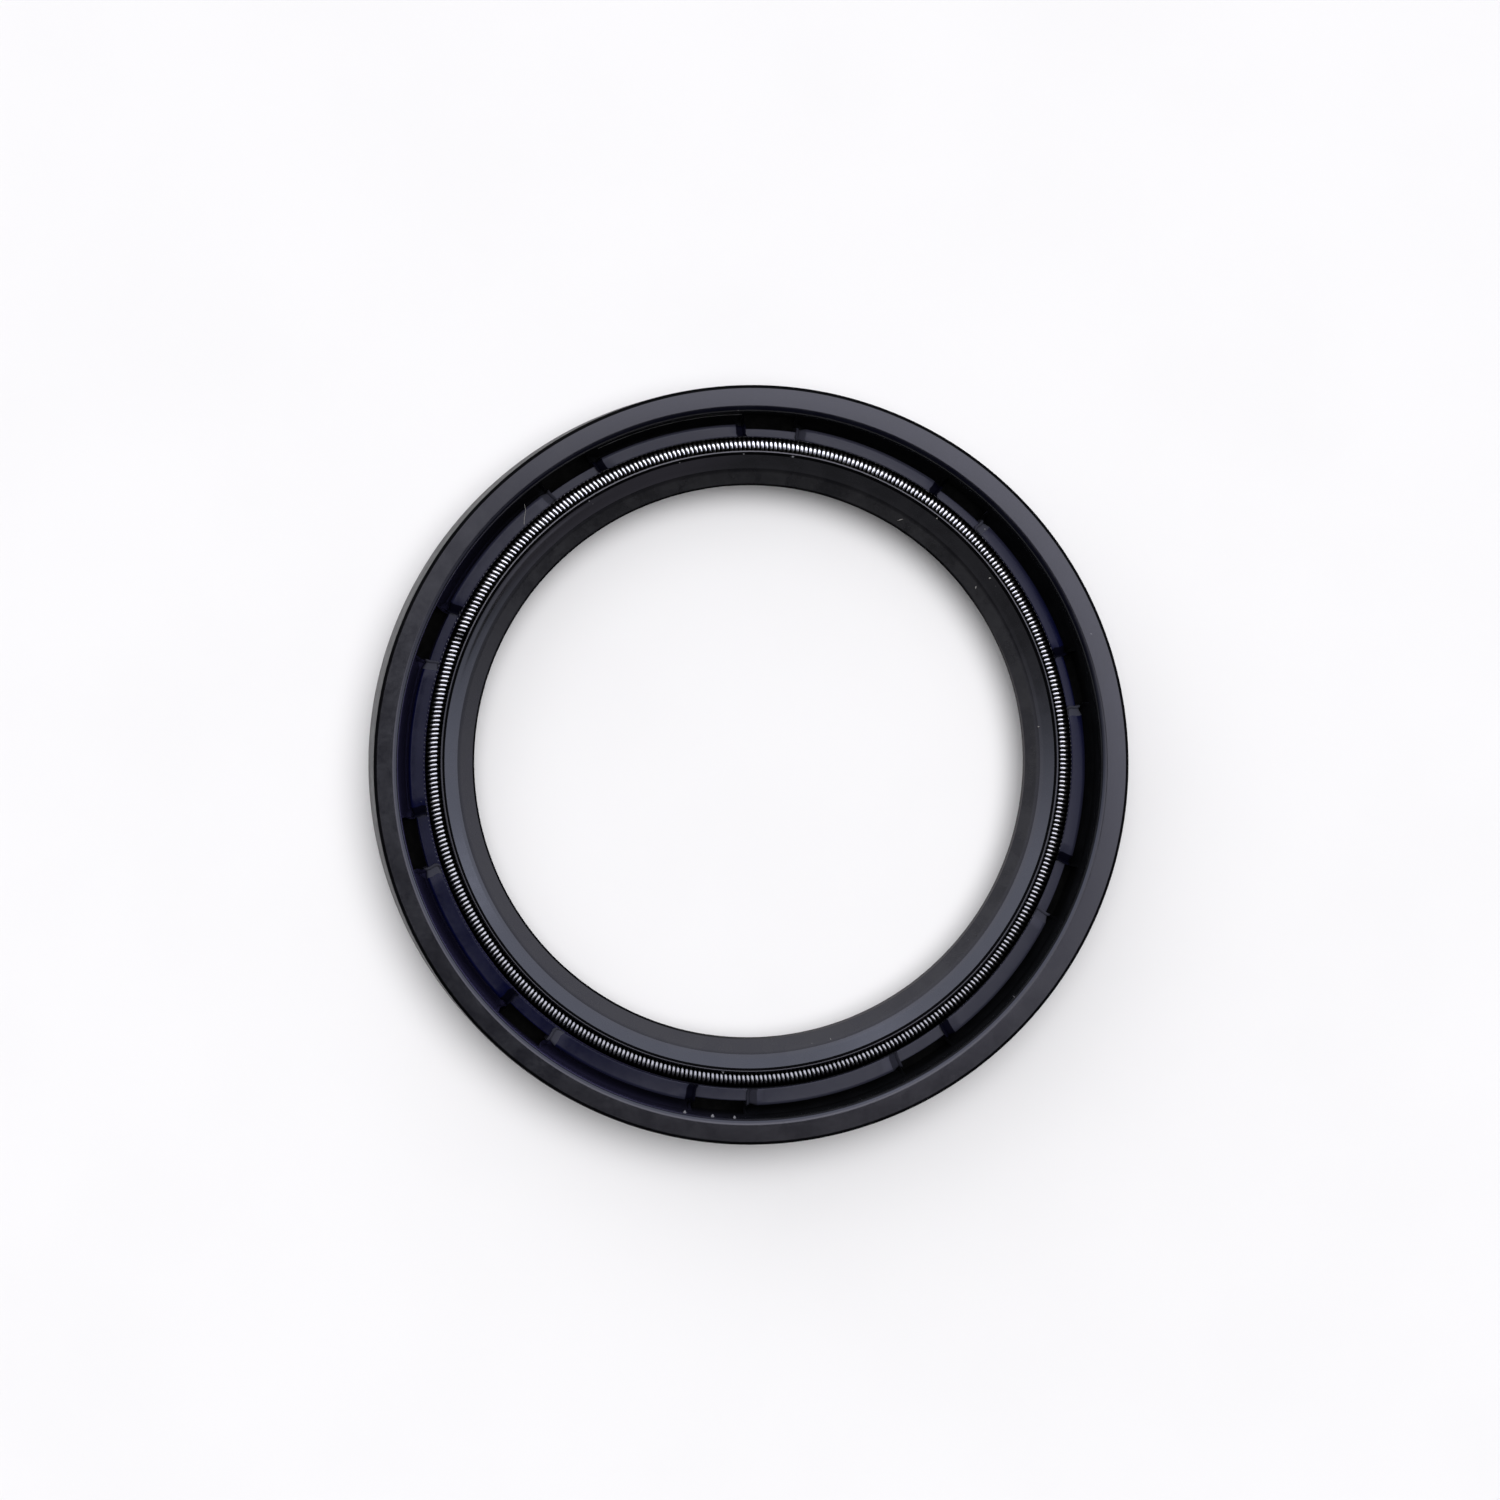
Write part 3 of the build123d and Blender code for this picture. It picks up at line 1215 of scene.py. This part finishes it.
        def corner(radius: float, height: float, angle: float) -> bmesh.types.BMVert:
            """Return the vertex at a place, made once."""
            key = (round(radius * 1e5), round(height * 1e5), round(angle * 1e5))
            if key not in corners:
                turn = math.radians(angle)
                corners[key] = shell.verts.new(
                    (radius * math.cos(turn) * MM, radius * math.sin(turn) * MM, height * MM)
                )
            return corners[key]

        def face(ring: Sequence[bmesh.types.BMVert], kind: Zone) -> None:
            """Add a face unless its corners fall together."""
            unique = list(dict.fromkeys(ring))
            if len(unique) > 2:
                shell.faces.new(unique)[zone] = kind.value

        columns = self._columns()
        for (angle, share), (next_angle, next_share) in pairwise(columns):
            here = [self._mixed(a, b, share) for a, b in zip(long_outline, short_outline, strict=True)]
            there = [self._mixed(a, b, next_share) for a, b in zip(long_outline, short_outline, strict=True)]
            open_window = share == 1.0 and next_share == 1.0
            step_face = angle == next_angle
            for index in range(count):
                after = (index + 1) % count
                if open_window and index == window:
                    continue
                ring = [
                    corner(*here[index], angle),
                    corner(*there[index], next_angle),
                    corner(*there[after], next_angle),
                    corner(*here[after], angle),
                ]
                # Step faces and eased ring faces take the notch finishes: painted shadow with painted light
                # on one side.
                kind = Zone.CAVITY if step_face else self._zone(here[index], here[after])
                eased = 0.0 < share + next_share < 2.0
                if eased and (step_face or kind is Zone.RING):
                    kind = Zone.NEAR_NOTCH if angle < 0.0 else Zone.SHADED_FAR_NOTCH
                face(ring, kind)
            if step_face:
                continue
            for index in range(len(case)):
                after = (index + 1) % len(case)
                if open_window and index == case_window:
                    continue
                ring = [
                    corner(*case[index], angle),
                    corner(*case[after], angle),
                    corner(*case[after], next_angle),
                    corner(*case[index], next_angle),
                ]
                face(ring, Zone.CAVITY)
        mesh = bpy.data.meshes.new("sector")
        shell.to_mesh(mesh)
        shell.free()
        return mesh_object("sector", mesh)

    @staticmethod
    def _mixed(first: Point, second: Point, share: float) -> Point:
        """Return the point at a share of the way between two points."""
        return (first[0] + (second[0] - first[0]) * share, first[1] + (second[1] - first[1]) * share)

    def _zone(self, start: Point, end: Point) -> Zone:
        """Return which finish a stretch of the outline takes."""
        radius, height = (start[0] + end[0]) / 2, (start[1] + end[1]) / 2
        if radius > self.housing_radius - self.side_depth:
            return Zone.EDGE if height > self.width - self.edge_depth else Zone.SIDE
        below_lip = height < self.lip_height - self.brink_depth
        if height < self.base_height or (radius < self.bore_radius and below_lip):
            return Zone.SIDE
        if radius < self.lip_radius + self.brink_width and height > self.lip_height - self.brink_depth:
            return Zone.SHADED_BRINK
        below_rim = height < self.rim_top - self.rim_depth
        # The spring groove's inner faces take the painted-shade edge finish.
        in_groove = abs(radius - self.groove_circle) < self.groove_radius and below_rim
        if in_groove and height > self.groove_height - self.groove_radius:
            return Zone.EDGE
        at_rim = self.rim_inner - self.nick_size < radius < self.rim_inner
        if at_rim and height > self.rim_top - self.nick_size:
            return Zone.SHADED_STEP
        if self.rim_inner <= radius < self.groove_circle and height > self.rim_top - self.rim_depth:
            return Zone.RIM
        if self.lip_radius < radius < self.rim_inner and height > self.lip_height - self.trim_margin:
            return Zone.TRIMMED if radius < self.lip_radius + self.trimmed_width else Zone.LIP
        on_ring = self.groove_circle < radius < self.ring_outer + self.ring_margin
        if on_ring and height > self.short_top - self.ring_depth:
            return Zone.RING
        turned_down = radius < self.wall_inner + self.wall_margin and height < self.width - self.wall_margin
        if self.groove_circle < radius and turned_down and height > self.flange_top:
            return Zone.CAVITY
        return Zone.OPEN

    def _ring_tree(self) -> bpy.types.NodeTree:
        """Build the node tree that repeats a sector around the axis and welds the ring."""
        inputs = {"Sector": "Geometry", "Sectors": "Int", "First Angle": "Float", "Weld": "Float"}
        inputs |= {kind.socket: "Material" for kind in Zone}
        board, given = shape_group("sector_ring", inputs, "Welded Ring")
        points = board.add("GeometryNodePoints", {"Count": given["Sectors"]})
        index = board.add("GeometryNodeInputIndex")
        pitch = board.math("DIVIDE", 2 * math.pi, given["Sectors"])
        turn = board.math("ADD", board.math("MULTIPLY", index.outputs[0], pitch), given["First Angle"])
        rotation = board.add("ShaderNodeCombineXYZ", {2: turn})
        to_rotation = board.add("FunctionNodeEulerToRotation", {0: rotation.outputs[0]})
        placed = board.add(
            "GeometryNodeInstanceOnPoints",
            {
                "Points": points.outputs[0],
                "Instance": given["Sector"],
                "Rotation": to_rotation.outputs[0],
            },
        )
        real = board.add("GeometryNodeRealizeInstances", {"Geometry": placed.outputs[0]})
        finished = board.add(
            "GeometryNodeMergeByDistance", {"Geometry": real.outputs[0], "Distance": given["Weld"]}
        )
        zone = board.add("GeometryNodeInputNamedAttribute", {"Name": "zone"}, data_type="INT").outputs[0]
        for kind in Zone:
            chosen = board.math("COMPARE", zone, float(kind.value), 0.5)
            finished = board.add(
                "GeometryNodeSetMaterial",
                {"Geometry": finished.outputs[0], "Selection": chosen, "Material": given[kind.socket]},
            )
        board.add("NodeGroupOutput", {"Welded Ring": finished.outputs[0]})
        return board.tree

    def build(self) -> bpy.types.Object:
        """Build the body, dress it and put it in place of its solid.

        Returns:
            The body's object.
        """
        sector = self._sector()
        modifier = sector.modifiers.new("sector_ring", "NODES")
        modifier.node_group = self._ring_tree()
        values = {
            "Sectors": self.segments,
            "First Angle": math.radians(self.first_pad),
            "Weld": self.weld * MM,
        }
        values |= {kind.socket: self.shelf.get(kind.finish) for kind in Zone}
        set_inputs(modifier, values)
        body = plain_copy(sector, "seal_rubber")
        for vertex in body.data.vertices:
            vertex.co = self.shift.moved(vertex.co / MM) * MM
        turn_outward(body.data)
        body.data.shade_smooth()
        body.data.set_sharp_from_angle(angle=math.radians(self.sharp_angle))
        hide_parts("rubber_body")
        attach(body, BODY)
        return body


@dataclass
class GarterSpring:
    """The close-wound wire whose ends meet, lying in the groove."""

    shelf: FinishShelf
    shift: MouldShift
    ring_radius: float = 21.83
    height: float = 3.90
    coil_diameter: float = 1.50
    wire_diameter: float = 0.265
    turns: int = 448
    points_per_turn: int = 20
    wire_sides: int = 8
    joint_angle: float = 156.4
    joint_pinch: float = 0.10
    joint_spread: float = 0.0035
    hand: int = -1
    sway_angle: float = 4.7
    sway_centre: float = 180.0

    def _coil_tree(self) -> bpy.types.NodeTree:
        """Build the node tree that winds the wire around the ring."""
        numbers = ("Ring Radius", "Height", "Coil Radius", "Wire Radius", "Turns", "Joint Angle")
        numbers += ("Joint Pinch", "Joint Spread", "Sway", "Sway Centre")
        inputs = {"Start": "Geometry"} | dict.fromkeys(numbers, "Float")
        inputs |= {"Points": "Int", "Wire Sides": "Int", "Wire": "Material"}
        board, given = shape_group("close_wound_coil", inputs, "Coil")
        line = board.add("GeometryNodeCurvePrimitiveLine")
        path = board.add(
            "GeometryNodeResampleCurve", {"Curve": line.outputs[0], "Count": given["Points"]}, mode="COUNT"
        )
        index = board.add("GeometryNodeInputIndex").outputs[0]
        share = board.math("DIVIDE", index, given["Points"])
        full = 2 * math.pi
        around_coil = board.math("MULTIPLY", board.math("MULTIPLY", share, given["Turns"]), full)
        from_joint = board.math("SUBTRACT", 0.5, board.math("ABSOLUTE", board.math("SUBTRACT", share, 0.5)))
        nearness = board.math("POWER", board.math("DIVIDE", from_joint, given["Joint Spread"]), 2.0)
        fading = board.math("EXPONENT", board.math("MULTIPLY", nearness, -1.0))
        pinch = board.math("MULTIPLY", fading, given["Joint Pinch"])
        reach = board.math("MULTIPLY", given["Coil Radius"], board.math("SUBTRACT", 1.0, pinch))
        outward = board.math("MULTIPLY", reach, board.math("COSINE", around_coil))
        upward = board.math("MULTIPLY", reach, board.math("SINE", around_coil))
        base = board.math("ADD", board.math("MULTIPLY", share, full), given["Joint Angle"])
        facing = board.math("COSINE", board.math("SUBTRACT", base, given["Sway Centre"]))
        swaying = board.math("MULTIPLY", facing, given["Sway"])
        slide = board.math("DIVIDE", board.math("MULTIPLY", swaying, outward), given["Ring Radius"])
        angle = board.math("ADD", base, slide)
        radius = board.math("ADD", given["Ring Radius"], outward)
        place = board.add(
            "ShaderNodeCombineXYZ",
            {
                0: board.math("MULTIPLY", radius, board.math("COSINE", angle)),
                1: board.math("MULTIPLY", radius, board.math("SINE", angle)),
                2: board.math("ADD", given["Height"], upward),
            },
        )
        wound = board.add(
            "GeometryNodeSetPosition", {"Geometry": path.outputs[0], "Position": place.outputs[0]}
        )
        closed = board.add("GeometryNodeSetSplineCyclic", {"Geometry": wound.outputs[0], "Cyclic": True})
        section = board.add(
            "GeometryNodeCurvePrimitiveCircle",
            {"Resolution": given["Wire Sides"], "Radius": given["Wire Radius"]},
        )
        tube = board.add(
            "GeometryNodeCurveToMesh", {"Curve": closed.outputs[0], "Profile Curve": section.outputs[0]}
        )
        smooth = board.add("GeometryNodeSetShadeSmooth", {"Geometry": tube.outputs[0]})
        real = board.add("GeometryNodeRealizeInstances", {"Geometry": smooth.outputs[0]})
        dressed = board.add(
            "GeometryNodeSetMaterial", {"Geometry": real.outputs[0], "Material": given["Wire"]}
        )
        board.add("NodeGroupOutput", {"Coil": dressed.outputs[0]})
        return board.tree

    def build(self) -> bpy.types.Object:
        """Wind the spring, dress it and put it in place of its solid.

        Returns:
            The spring's object.
        """
        start = mesh_object("coil_start", bpy.data.meshes.new("coil_start"))
        modifier = start.modifiers.new("close_wound_coil", "NODES")
        modifier.node_group = self._coil_tree()
        wire_radius = self.wire_diameter / 2
        set_inputs(
            modifier,
            {
                "Ring Radius": self.ring_radius * MM,
                "Height": self.height * MM,
                "Coil Radius": (self.coil_diameter / 2 - wire_radius) * MM,
                "Wire Radius": wire_radius * MM,
                "Turns": float(self.turns * self.hand),
                "Joint Angle": math.radians(self.joint_angle),
                "Joint Pinch": self.joint_pinch,
                "Joint Spread": self.joint_spread,
                "Sway": math.tan(math.radians(self.sway_angle)),
                "Sway Centre": math.radians(self.sway_centre),
                "Points": self.turns * self.points_per_turn,
                "Wire Sides": self.wire_sides,
                "Wire": self.shelf.get(Finish.WIRE),
            },
        )
        spring = plain_copy(start, "seal_spring")
        spring.data.transform(Matrix.Translation(Vector(self.shift.spring).to_3d() * MM))
        turn_outward(spring.data)
        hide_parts("garter_spring")
        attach(spring, BODY)
        return spring


@dataclass(frozen=True)
class Chip:
    """A small bit on a face: where it lies, how big it is and how far it is turned from the radius."""

    azimuth: float
    radius: float
    height: float
    length: float
    width: float
    turn: float = 0.0
    thickness: float = 0.06


@dataclass
class LooseBits:
    """The flash tips, nicks, dust and thread that show on the seal, and a light bead that paints a highlight
    streak at the top of the root slope.
    """

    shelf: FinishShelf
    flash: tuple[Chip, ...] = (
        Chip(-101.3, 24.17, 6.72, 0.34, 0.24, 4.0),
        Chip(-96.7, 24.15, 6.72, 0.34, 0.26, -3.0),
        Chip(-93.1, 24.12, 6.72, 0.30, 0.20, 6.0),
        Chip(-41.5, 24.16, 6.74, 0.42, 0.09, 2.0),
        Chip(82.1, 21.34, 4.86, 0.16, 0.22, 10.0),
        Chip(91.2, 21.32, 4.84, 0.11, 0.15, 0.0),
        Chip(-95.1, 21.17, 4.82, 0.30, 0.20, 12.0),
        Chip(121.5, 21.20, 4.78, 0.09, 0.13, 20.0),
        Chip(103.2, 21.28, 4.80, 0.08, 0.11, 0.0),
    )
    dust: tuple[Chip, ...] = (
        Chip(58.1, 19.82, 4.15, 0.46, 0.05, -42.0, 0.03),
        Chip(37.6, 21.00, 4.68, 0.22, 0.10, -30.0, 0.03),
        Chip(37.7, 19.90, 4.17, 0.24, 0.07, 35.0, 0.03),
        Chip(-73.4, 19.80, 4.16, 0.22, 0.05, 8.0, 0.03),
        Chip(7.2, 20.28, 4.30, 0.14, 0.09, 0.0, 0.04),
        Chip(52.6, 21.30, 4.80, 0.10, 0.10, 0.0, 0.03),
    )
    scuffs: tuple[Chip, ...] = (
        Chip(-94.0, 20.55, 4.45, 0.07, 0.60, 4.0, 0.02),
        Chip(-95.4, 20.45, 4.40, 0.06, 0.45, -6.0, 0.02),
        Chip(-99.5, 20.75, 4.56, 0.05, 0.70, 0.0, 0.02),
    )
    thread: tuple[tuple[float, float, float], ...] = (
        (133.6, 22.62, 5.47),
        (132.7, 22.98, 5.51),
        (131.6, 23.33, 5.50),
        (131.1, 23.68, 5.36),
    )
    thread_radius: float = 0.016
    highlight_streak_start: float = 115.7
    highlight_streak_end: float = 91.2
    highlight_streak_radius: float = 24.05
    highlight_streak_height: float = 4.24
    highlight_streak_thickness: float = 0.035
    highlight_streak_steps: int = 24
    strand_sides: int = 6

    @staticmethod
    def _at(azimuth: float, radius: float, height: float) -> Vector:
        """Return a place from its bearing in degrees, its radius and its height."""
        bearing = math.radians(azimuth)
        return Vector((radius * math.cos(bearing), radius * math.sin(bearing), height))

    def _chips(self, name: str, chips: Sequence[Chip], finish: Finish) -> bpy.types.Object:
        """Build a set of chips as one mesh.

        Args:
            name: The mesh's name.
            chips: The chips.
            finish: Their finish.

        Returns:
            The chips' object.
        """
        shell = bmesh.new()
        for chip in chips:
            middle = self._at(chip.azimuth, chip.radius, chip.height)
            bearing = math.radians(chip.azimuth + chip.turn)
            along = Vector((math.cos(bearing), math.sin(bearing), 0.0)) * chip.length / 2
            across = Vector((-math.sin(bearing), math.cos(bearing), 0.0)) * chip.width / 2
            upward = Vector((0, 0, chip.thickness / 2))
            ring = [shell.verts.new((middle + side) * MM) for side in (along, across, -along, -across)]
            for tip, ordered in ((upward, ring), (-upward, ring[::-1])):
                top = shell.verts.new((middle + tip) * MM)
                for index in range(4):
                    shell.faces.new((ordered[index], ordered[(index + 1) % 4], top))
        bmesh.ops.recalc_face_normals(shell, faces=shell.faces[:])
        mesh = bpy.data.meshes.new(name)
        shell.to_mesh(mesh)
        shell.free()
        mesh.materials.append(self.shelf.get(finish))
        return mesh_object(name, mesh)

    def _strand_tree(self) -> bpy.types.NodeTree:
        """Build the node tree that lays a round strand along a path of edges."""
        inputs = {"Path": "Geometry", "Thickness": "Float", "Sides": "Int", "Finish": "Material"}
        board, given = shape_group("strand_on_path", inputs, "Strand")
        path = board.add("GeometryNodeMeshToCurve", {"Mesh": given["Path"]})
        section = board.add(
            "GeometryNodeCurvePrimitiveCircle",
            {"Resolution": given["Sides"], "Radius": given["Thickness"]},
        )
        tube = board.add(
            "GeometryNodeCurveToMesh",
            {"Curve": path.outputs[0], "Profile Curve": section.outputs[0], "Fill Caps": True},
        )
        real = board.add("GeometryNodeRealizeInstances", {"Geometry": tube.outputs[0]})
        dressed = board.add(
            "GeometryNodeSetMaterial", {"Geometry": real.outputs[0], "Material": given["Finish"]}
        )
        board.add("NodeGroupOutput", {"Strand": dressed.outputs[0]})
        return board.tree

    def _strand(
        self, name: str, path: Sequence[Vector], thickness: float, finish: Finish
    ) -> bpy.types.Object:
        """Lay one strand along a path.

        Args:
            name: The strand's name.
            path: The path's points, in millimetres.
            thickness: The strand's radius, in millimetres.
            finish: Its finish.

        Returns:
            The strand's object.
        """
        mesh = bpy.data.meshes.new(name)
        mesh.from_pydata([point * MM for point in path], [(i, i + 1) for i in range(len(path) - 1)], [])
        start = mesh_object(name, mesh)
        modifier = start.modifiers.new("strand_on_path", "NODES")
        modifier.node_group = self._strand_tree()
        set_inputs(
            modifier,
            {"Thickness": thickness * MM, "Sides": self.strand_sides, "Finish": self.shelf.get(finish)},
        )
        strand = plain_copy(start, name)
        turn_outward(strand.data)
        return strand

    def build(self) -> list[bpy.types.Object]:
        """Build every bit and let it ride on the seal.

        Returns:
            The bits' objects.
        """
        sweep = (self.highlight_streak_end - self.highlight_streak_start) / self.highlight_streak_steps
        turns = [self.highlight_streak_start + sweep * step for step in range(self.highlight_streak_steps + 1)]
        streak_points = [self._at(turn, self.highlight_streak_radius, self.highlight_streak_height) for turn in turns]
        # Painted highlight: a light bead along the top of the root slope.
        thread = [self._at(*point) for point in self.thread]
        made = [
            self._chips("flash_tips", self.flash, Finish.FLASH),
            self._chips("dust_bits", self.dust, Finish.LINT),
            self._chips("lip_scuffs", self.scuffs, Finish.SCUFF),
            self._strand("thread", thread, self.thread_radius, Finish.LINT),
            self._strand("wall_highlight_streak", streak_points, self.highlight_streak_thickness, Finish.SEAM),
        ]
        for bit in made:
            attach(bit, BODY)
        return made


@dataclass
class SteelCase:
    """The stamped case, which only shows at the bottom of the pockets."""

    shelf: FinishShelf

    def dress(self, case: bpy.types.Object) -> None:
        """Give the case's solid its finish.

        Args:
            case: The solid's object.
        """
        case.data.materials.clear()
        case.data.materials.append(self.shelf.get(Finish.CASE))


# ---------------------------------------------------------------- studio


@dataclass
class Studio:
    """The pale floor, the light and the camera.

    Mirror reflections, soft light and the camera each see a sky of their own.
    """

    floor_size: float = 3.0
    floor_tone: Colour = (0.845, 0.846, 0.856)
    aim: tuple[float, float, float] = (-0.275, 1.09, 7.0)
    distance: float = 400.0
    tilt: float = 6.9
    tilt_direction: float = 165.0
    focal_length: float = 140.6
    sensor: float = 36.0
    key_azimuth: float = 50.0
    key_glow: float = 2.8
    side_azimuth: float = 165.0
    side_glow: float = 1.9
    low_azimuth: float = 80.0
    low_glow: float = 2.0
    dark_glow: float = 0.04
    window_glow: float = 1.3
    high_tint: Colour = (1.0, 0.99, 1.18)
    low_tint: Colour = (0.92, 0.97, 1.22)
    fill_azimuth: float = 75.0
    fill_height: float = 80.0
    fill_glow: float = 8.5
    fill_base: float = 0.11
    flank_azimuth: float = 120.0
    flank_height: float = 30.0
    flank_glow: float = 1.14
    fill_tint: Colour = (1.0, 0.99, 1.0)
    key_rise: Point = (0.01, 0.12)
    key_cut: Point = (-0.13, -0.07)
    side_rise: Point = (-0.05, 0.14)
    side_cut: Point = (-0.25, 0.0)
    cut_azimuth: float = 90.0
    low_rise: Point = (-0.5, 0.15)
    low_base: float = 0.03
    high_rise: Point = (0.82, 0.93)
    panes: tuple[Point, ...] = ((108.0, 41.0), (18.0, 22.0))
    pane_rise: Point = (0.988, 0.998)
    horizon_rise: Point = (0.12, 0.35)
    horizon_base: float = 0.1
    fill_rise: Point = (0.9, 1.0)
    flank_rise: Point = (0.5, 1.0)
    tint_rise: Point = (0.55, 0.95)
    backdrop: float = 0.93
    floor_cloud: float = 60.0
    floor_cloud_rise: Point = (0.35, 0.75)
    floor_shade: float = 0.985
    floor_roughness: float = 0.7
    floor_shine: float = 0.05

    def floor(self) -> bpy.types.Object:
        """Lay the floor.

        Returns:
            The floor's object.
        """
        half = self.floor_size / 2
        mesh = bpy.data.meshes.new("floor")
        corners = [(-half, -half, 0), (half, -half, 0), (half, half, 0), (-half, half, 0)]
        mesh.from_pydata(corners, [], [(0, 1, 2, 3)])
        made = mesh_object("floor", mesh)
        paper = bpy.data.materials.new("floor_paper")
        paper.use_nodes = True
        board = NodeBoard(paper.node_tree)
        shader = paper.node_tree.nodes["Principled BSDF"]
        place = board.add("ShaderNodeTexCoord").outputs["Object"]
        cloud = board.add("ShaderNodeTexNoise", {"Vector": place, "Scale": self.floor_cloud, "Detail": 4.0})
        share = board.rise(cloud.outputs[0], *self.floor_cloud_rise)
        tone = tuple(value * self.floor_shade for value in self.floor_tone)
        colour = board.mix_colour(share, (*self.floor_tone, 1.0), (*tone, 1.0))
        board.feed(shader.inputs["Base Color"], colour)
        shader.inputs["Roughness"].default_value = self.floor_roughness
        shader.inputs["Specular IOR Level"].default_value = self.floor_shine
        mesh.materials.append(paper)
        return made

    def light(self) -> bpy.types.World:
        """Set up the skies: one for mirror reflections, one for soft light and a plain one for the camera.

        Returns:
            The world.
        """
        world = bpy.data.worlds.new("studio_dome")
        bpy.context.scene.world = world
        world.use_nodes = True
        board = NodeBoard(world.node_tree)
        background = world.node_tree.nodes["Background"]
        sky = board.add("ShaderNodeTexCoord").outputs["Generated"]
        height = self._towards(board, sky, 0.0, 90.0)
        cut = self._towards(board, sky, self.cut_azimuth, 0.0)
        key = self._towards(board, sky, self.key_azimuth, 0.0)
        key = board.rise(key, *self.key_rise, 0.0, self.key_glow)
        key = board.math("MULTIPLY", key, board.rise(cut, *self.key_cut))
        side = self._towards(board, sky, self.side_azimuth, 0.0)
        side = board.rise(side, *self.side_rise, 0.0, self.side_glow)
        high = board.math("MAXIMUM", key, board.math("MULTIPLY", side, board.rise(cut, *self.side_cut)))
        low = self._towards(board, sky, self.low_azimuth, 0.0)
        low = board.rise(low, *self.low_rise, self.low_base, self.low_glow)
        share = board.rise(height, *self.high_rise)
        both = board.add("ShaderNodeMix", {0: share, 2: low, 3: high}, data_type="FLOAT").outputs[0]
        for azimuth, pane_height in self.panes:
            pane = self._towards(board, sky, azimuth, pane_height)
            both = board.math("ADD", both, board.rise(pane, *self.pane_rise, 0.0, self.window_glow))
        lit = board.math("MULTIPLY", both, board.rise(height, *self.horizon_rise, self.horizon_base, 1.0))
        mirrored = board.math("MAXIMUM", lit, self.dark_glow)
        overhead = self._towards(board, sky, self.fill_azimuth, self.fill_height)
        flank = self._towards(board, sky, self.flank_azimuth, self.flank_height)
        fill = board.math(
            "ADD",
            board.rise(overhead, *self.fill_rise, self.fill_base, self.fill_glow),
            board.rise(flank, *self.flank_rise, 0.0, self.flank_glow),
        )
        rays = board.add("ShaderNodeLightPath").outputs
        total = board.add(
            "ShaderNodeMix", {0: rays["Is Glossy Ray"], 2: fill, 3: mirrored}, data_type="FLOAT"
        ).outputs[0]
        shown = board.add(
            "ShaderNodeMix", {0: rays["Is Camera Ray"], 2: total, 3: self.backdrop}, data_type="FLOAT"
        )
        board.feed(background.inputs["Strength"], shown.outputs[0])
        upward = board.rise(height, *self.tint_rise)
        tint = board.mix_colour(upward, (*self.low_tint, 1.0), (*self.high_tint, 1.0))
        shade = board.mix_colour(rays["Is Glossy Ray"], (*self.fill_tint, 1.0), tint)
        board.feed(background.inputs["Color"], shade)
        return world

    @staticmethod
    def _towards(board: NodeBoard, sky: object, azimuth: float, height: float) -> bpy.types.NodeSocket:
        """Measure how far a direction points towards a place in the sky.

        Args:
            board: The world's board.
            sky: The direction's socket.
            azimuth: The place's bearing, in degrees from +X towards +Y.
            height: The place's height above the horizon, in degrees.

        Returns:
            The cosine's socket.
        """
        bearing, rise = math.radians(azimuth), math.radians(height)
        axis = (math.cos(bearing) * math.cos(rise), math.sin(bearing) * math.cos(rise), math.sin(rise))
        return board.add("ShaderNodeVectorMath", {0: sky, 1: axis}, operation="DOT_PRODUCT").outputs["Value"]

    def camera(self) -> bpy.types.Object:
        """Set up the camera, which looks down on the oil side.

        Returns:
            The camera's object.
        """
        data = bpy.data.cameras.new("camera")
        data.lens = self.focal_length
        data.sensor_width = self.sensor
        data.clip_start, data.clip_end = 0.01, 10.0
        made = bpy.data.objects.new("camera", data)
        bpy.context.scene.collection.objects.link(made)
        bearing, tilt = math.radians(self.tilt_direction), math.radians(self.tilt)
        level = math.sin(tilt)
        back = Vector((math.cos(bearing) * level, math.sin(bearing) * level, math.cos(tilt)))
        right = Vector((0, 1, 0)).cross(back).normalized()
        up = back.cross(right)
        made.location = (Vector(self.aim) + back * self.distance) * MM
        made.rotation_euler = Matrix((right, up, back)).transposed().to_euler()
        bpy.context.scene.camera = made
        return made

    def set_tone(self) -> None:
        """Show the scene's colours without a film look."""
        view = bpy.context.scene.view_settings
        view.view_transform = "Standard"
        view.look = "None"
        view.exposure = 0.0
        view.gamma = 1.0


def report(piece: bpy.types.Object) -> None:
    """Log a piece's name and how many faces it has."""
    log.info("%s: %d faces", piece.name, len(piece.data.polygons))


def main() -> None:
    logging.basicConfig(level=logging.INFO, format="%(message)s")
    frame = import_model()
    shelf = FinishShelf(EffectLibrary())
    shift = MouldShift()
    SteelCase(shelf).dress(frame["nodes"]["steel_case"])
    report(frame["nodes"]["steel_case"])
    report(RubberBody(shelf, shift).build())
    report(GarterSpring(shelf, shift).build())
    for bit in LooseBits(shelf).build():
        report(bit)
    studio = Studio()
    studio.floor()
    studio.light()
    studio.camera()
    studio.set_tone()


if __name__ == "__main__":
    main()
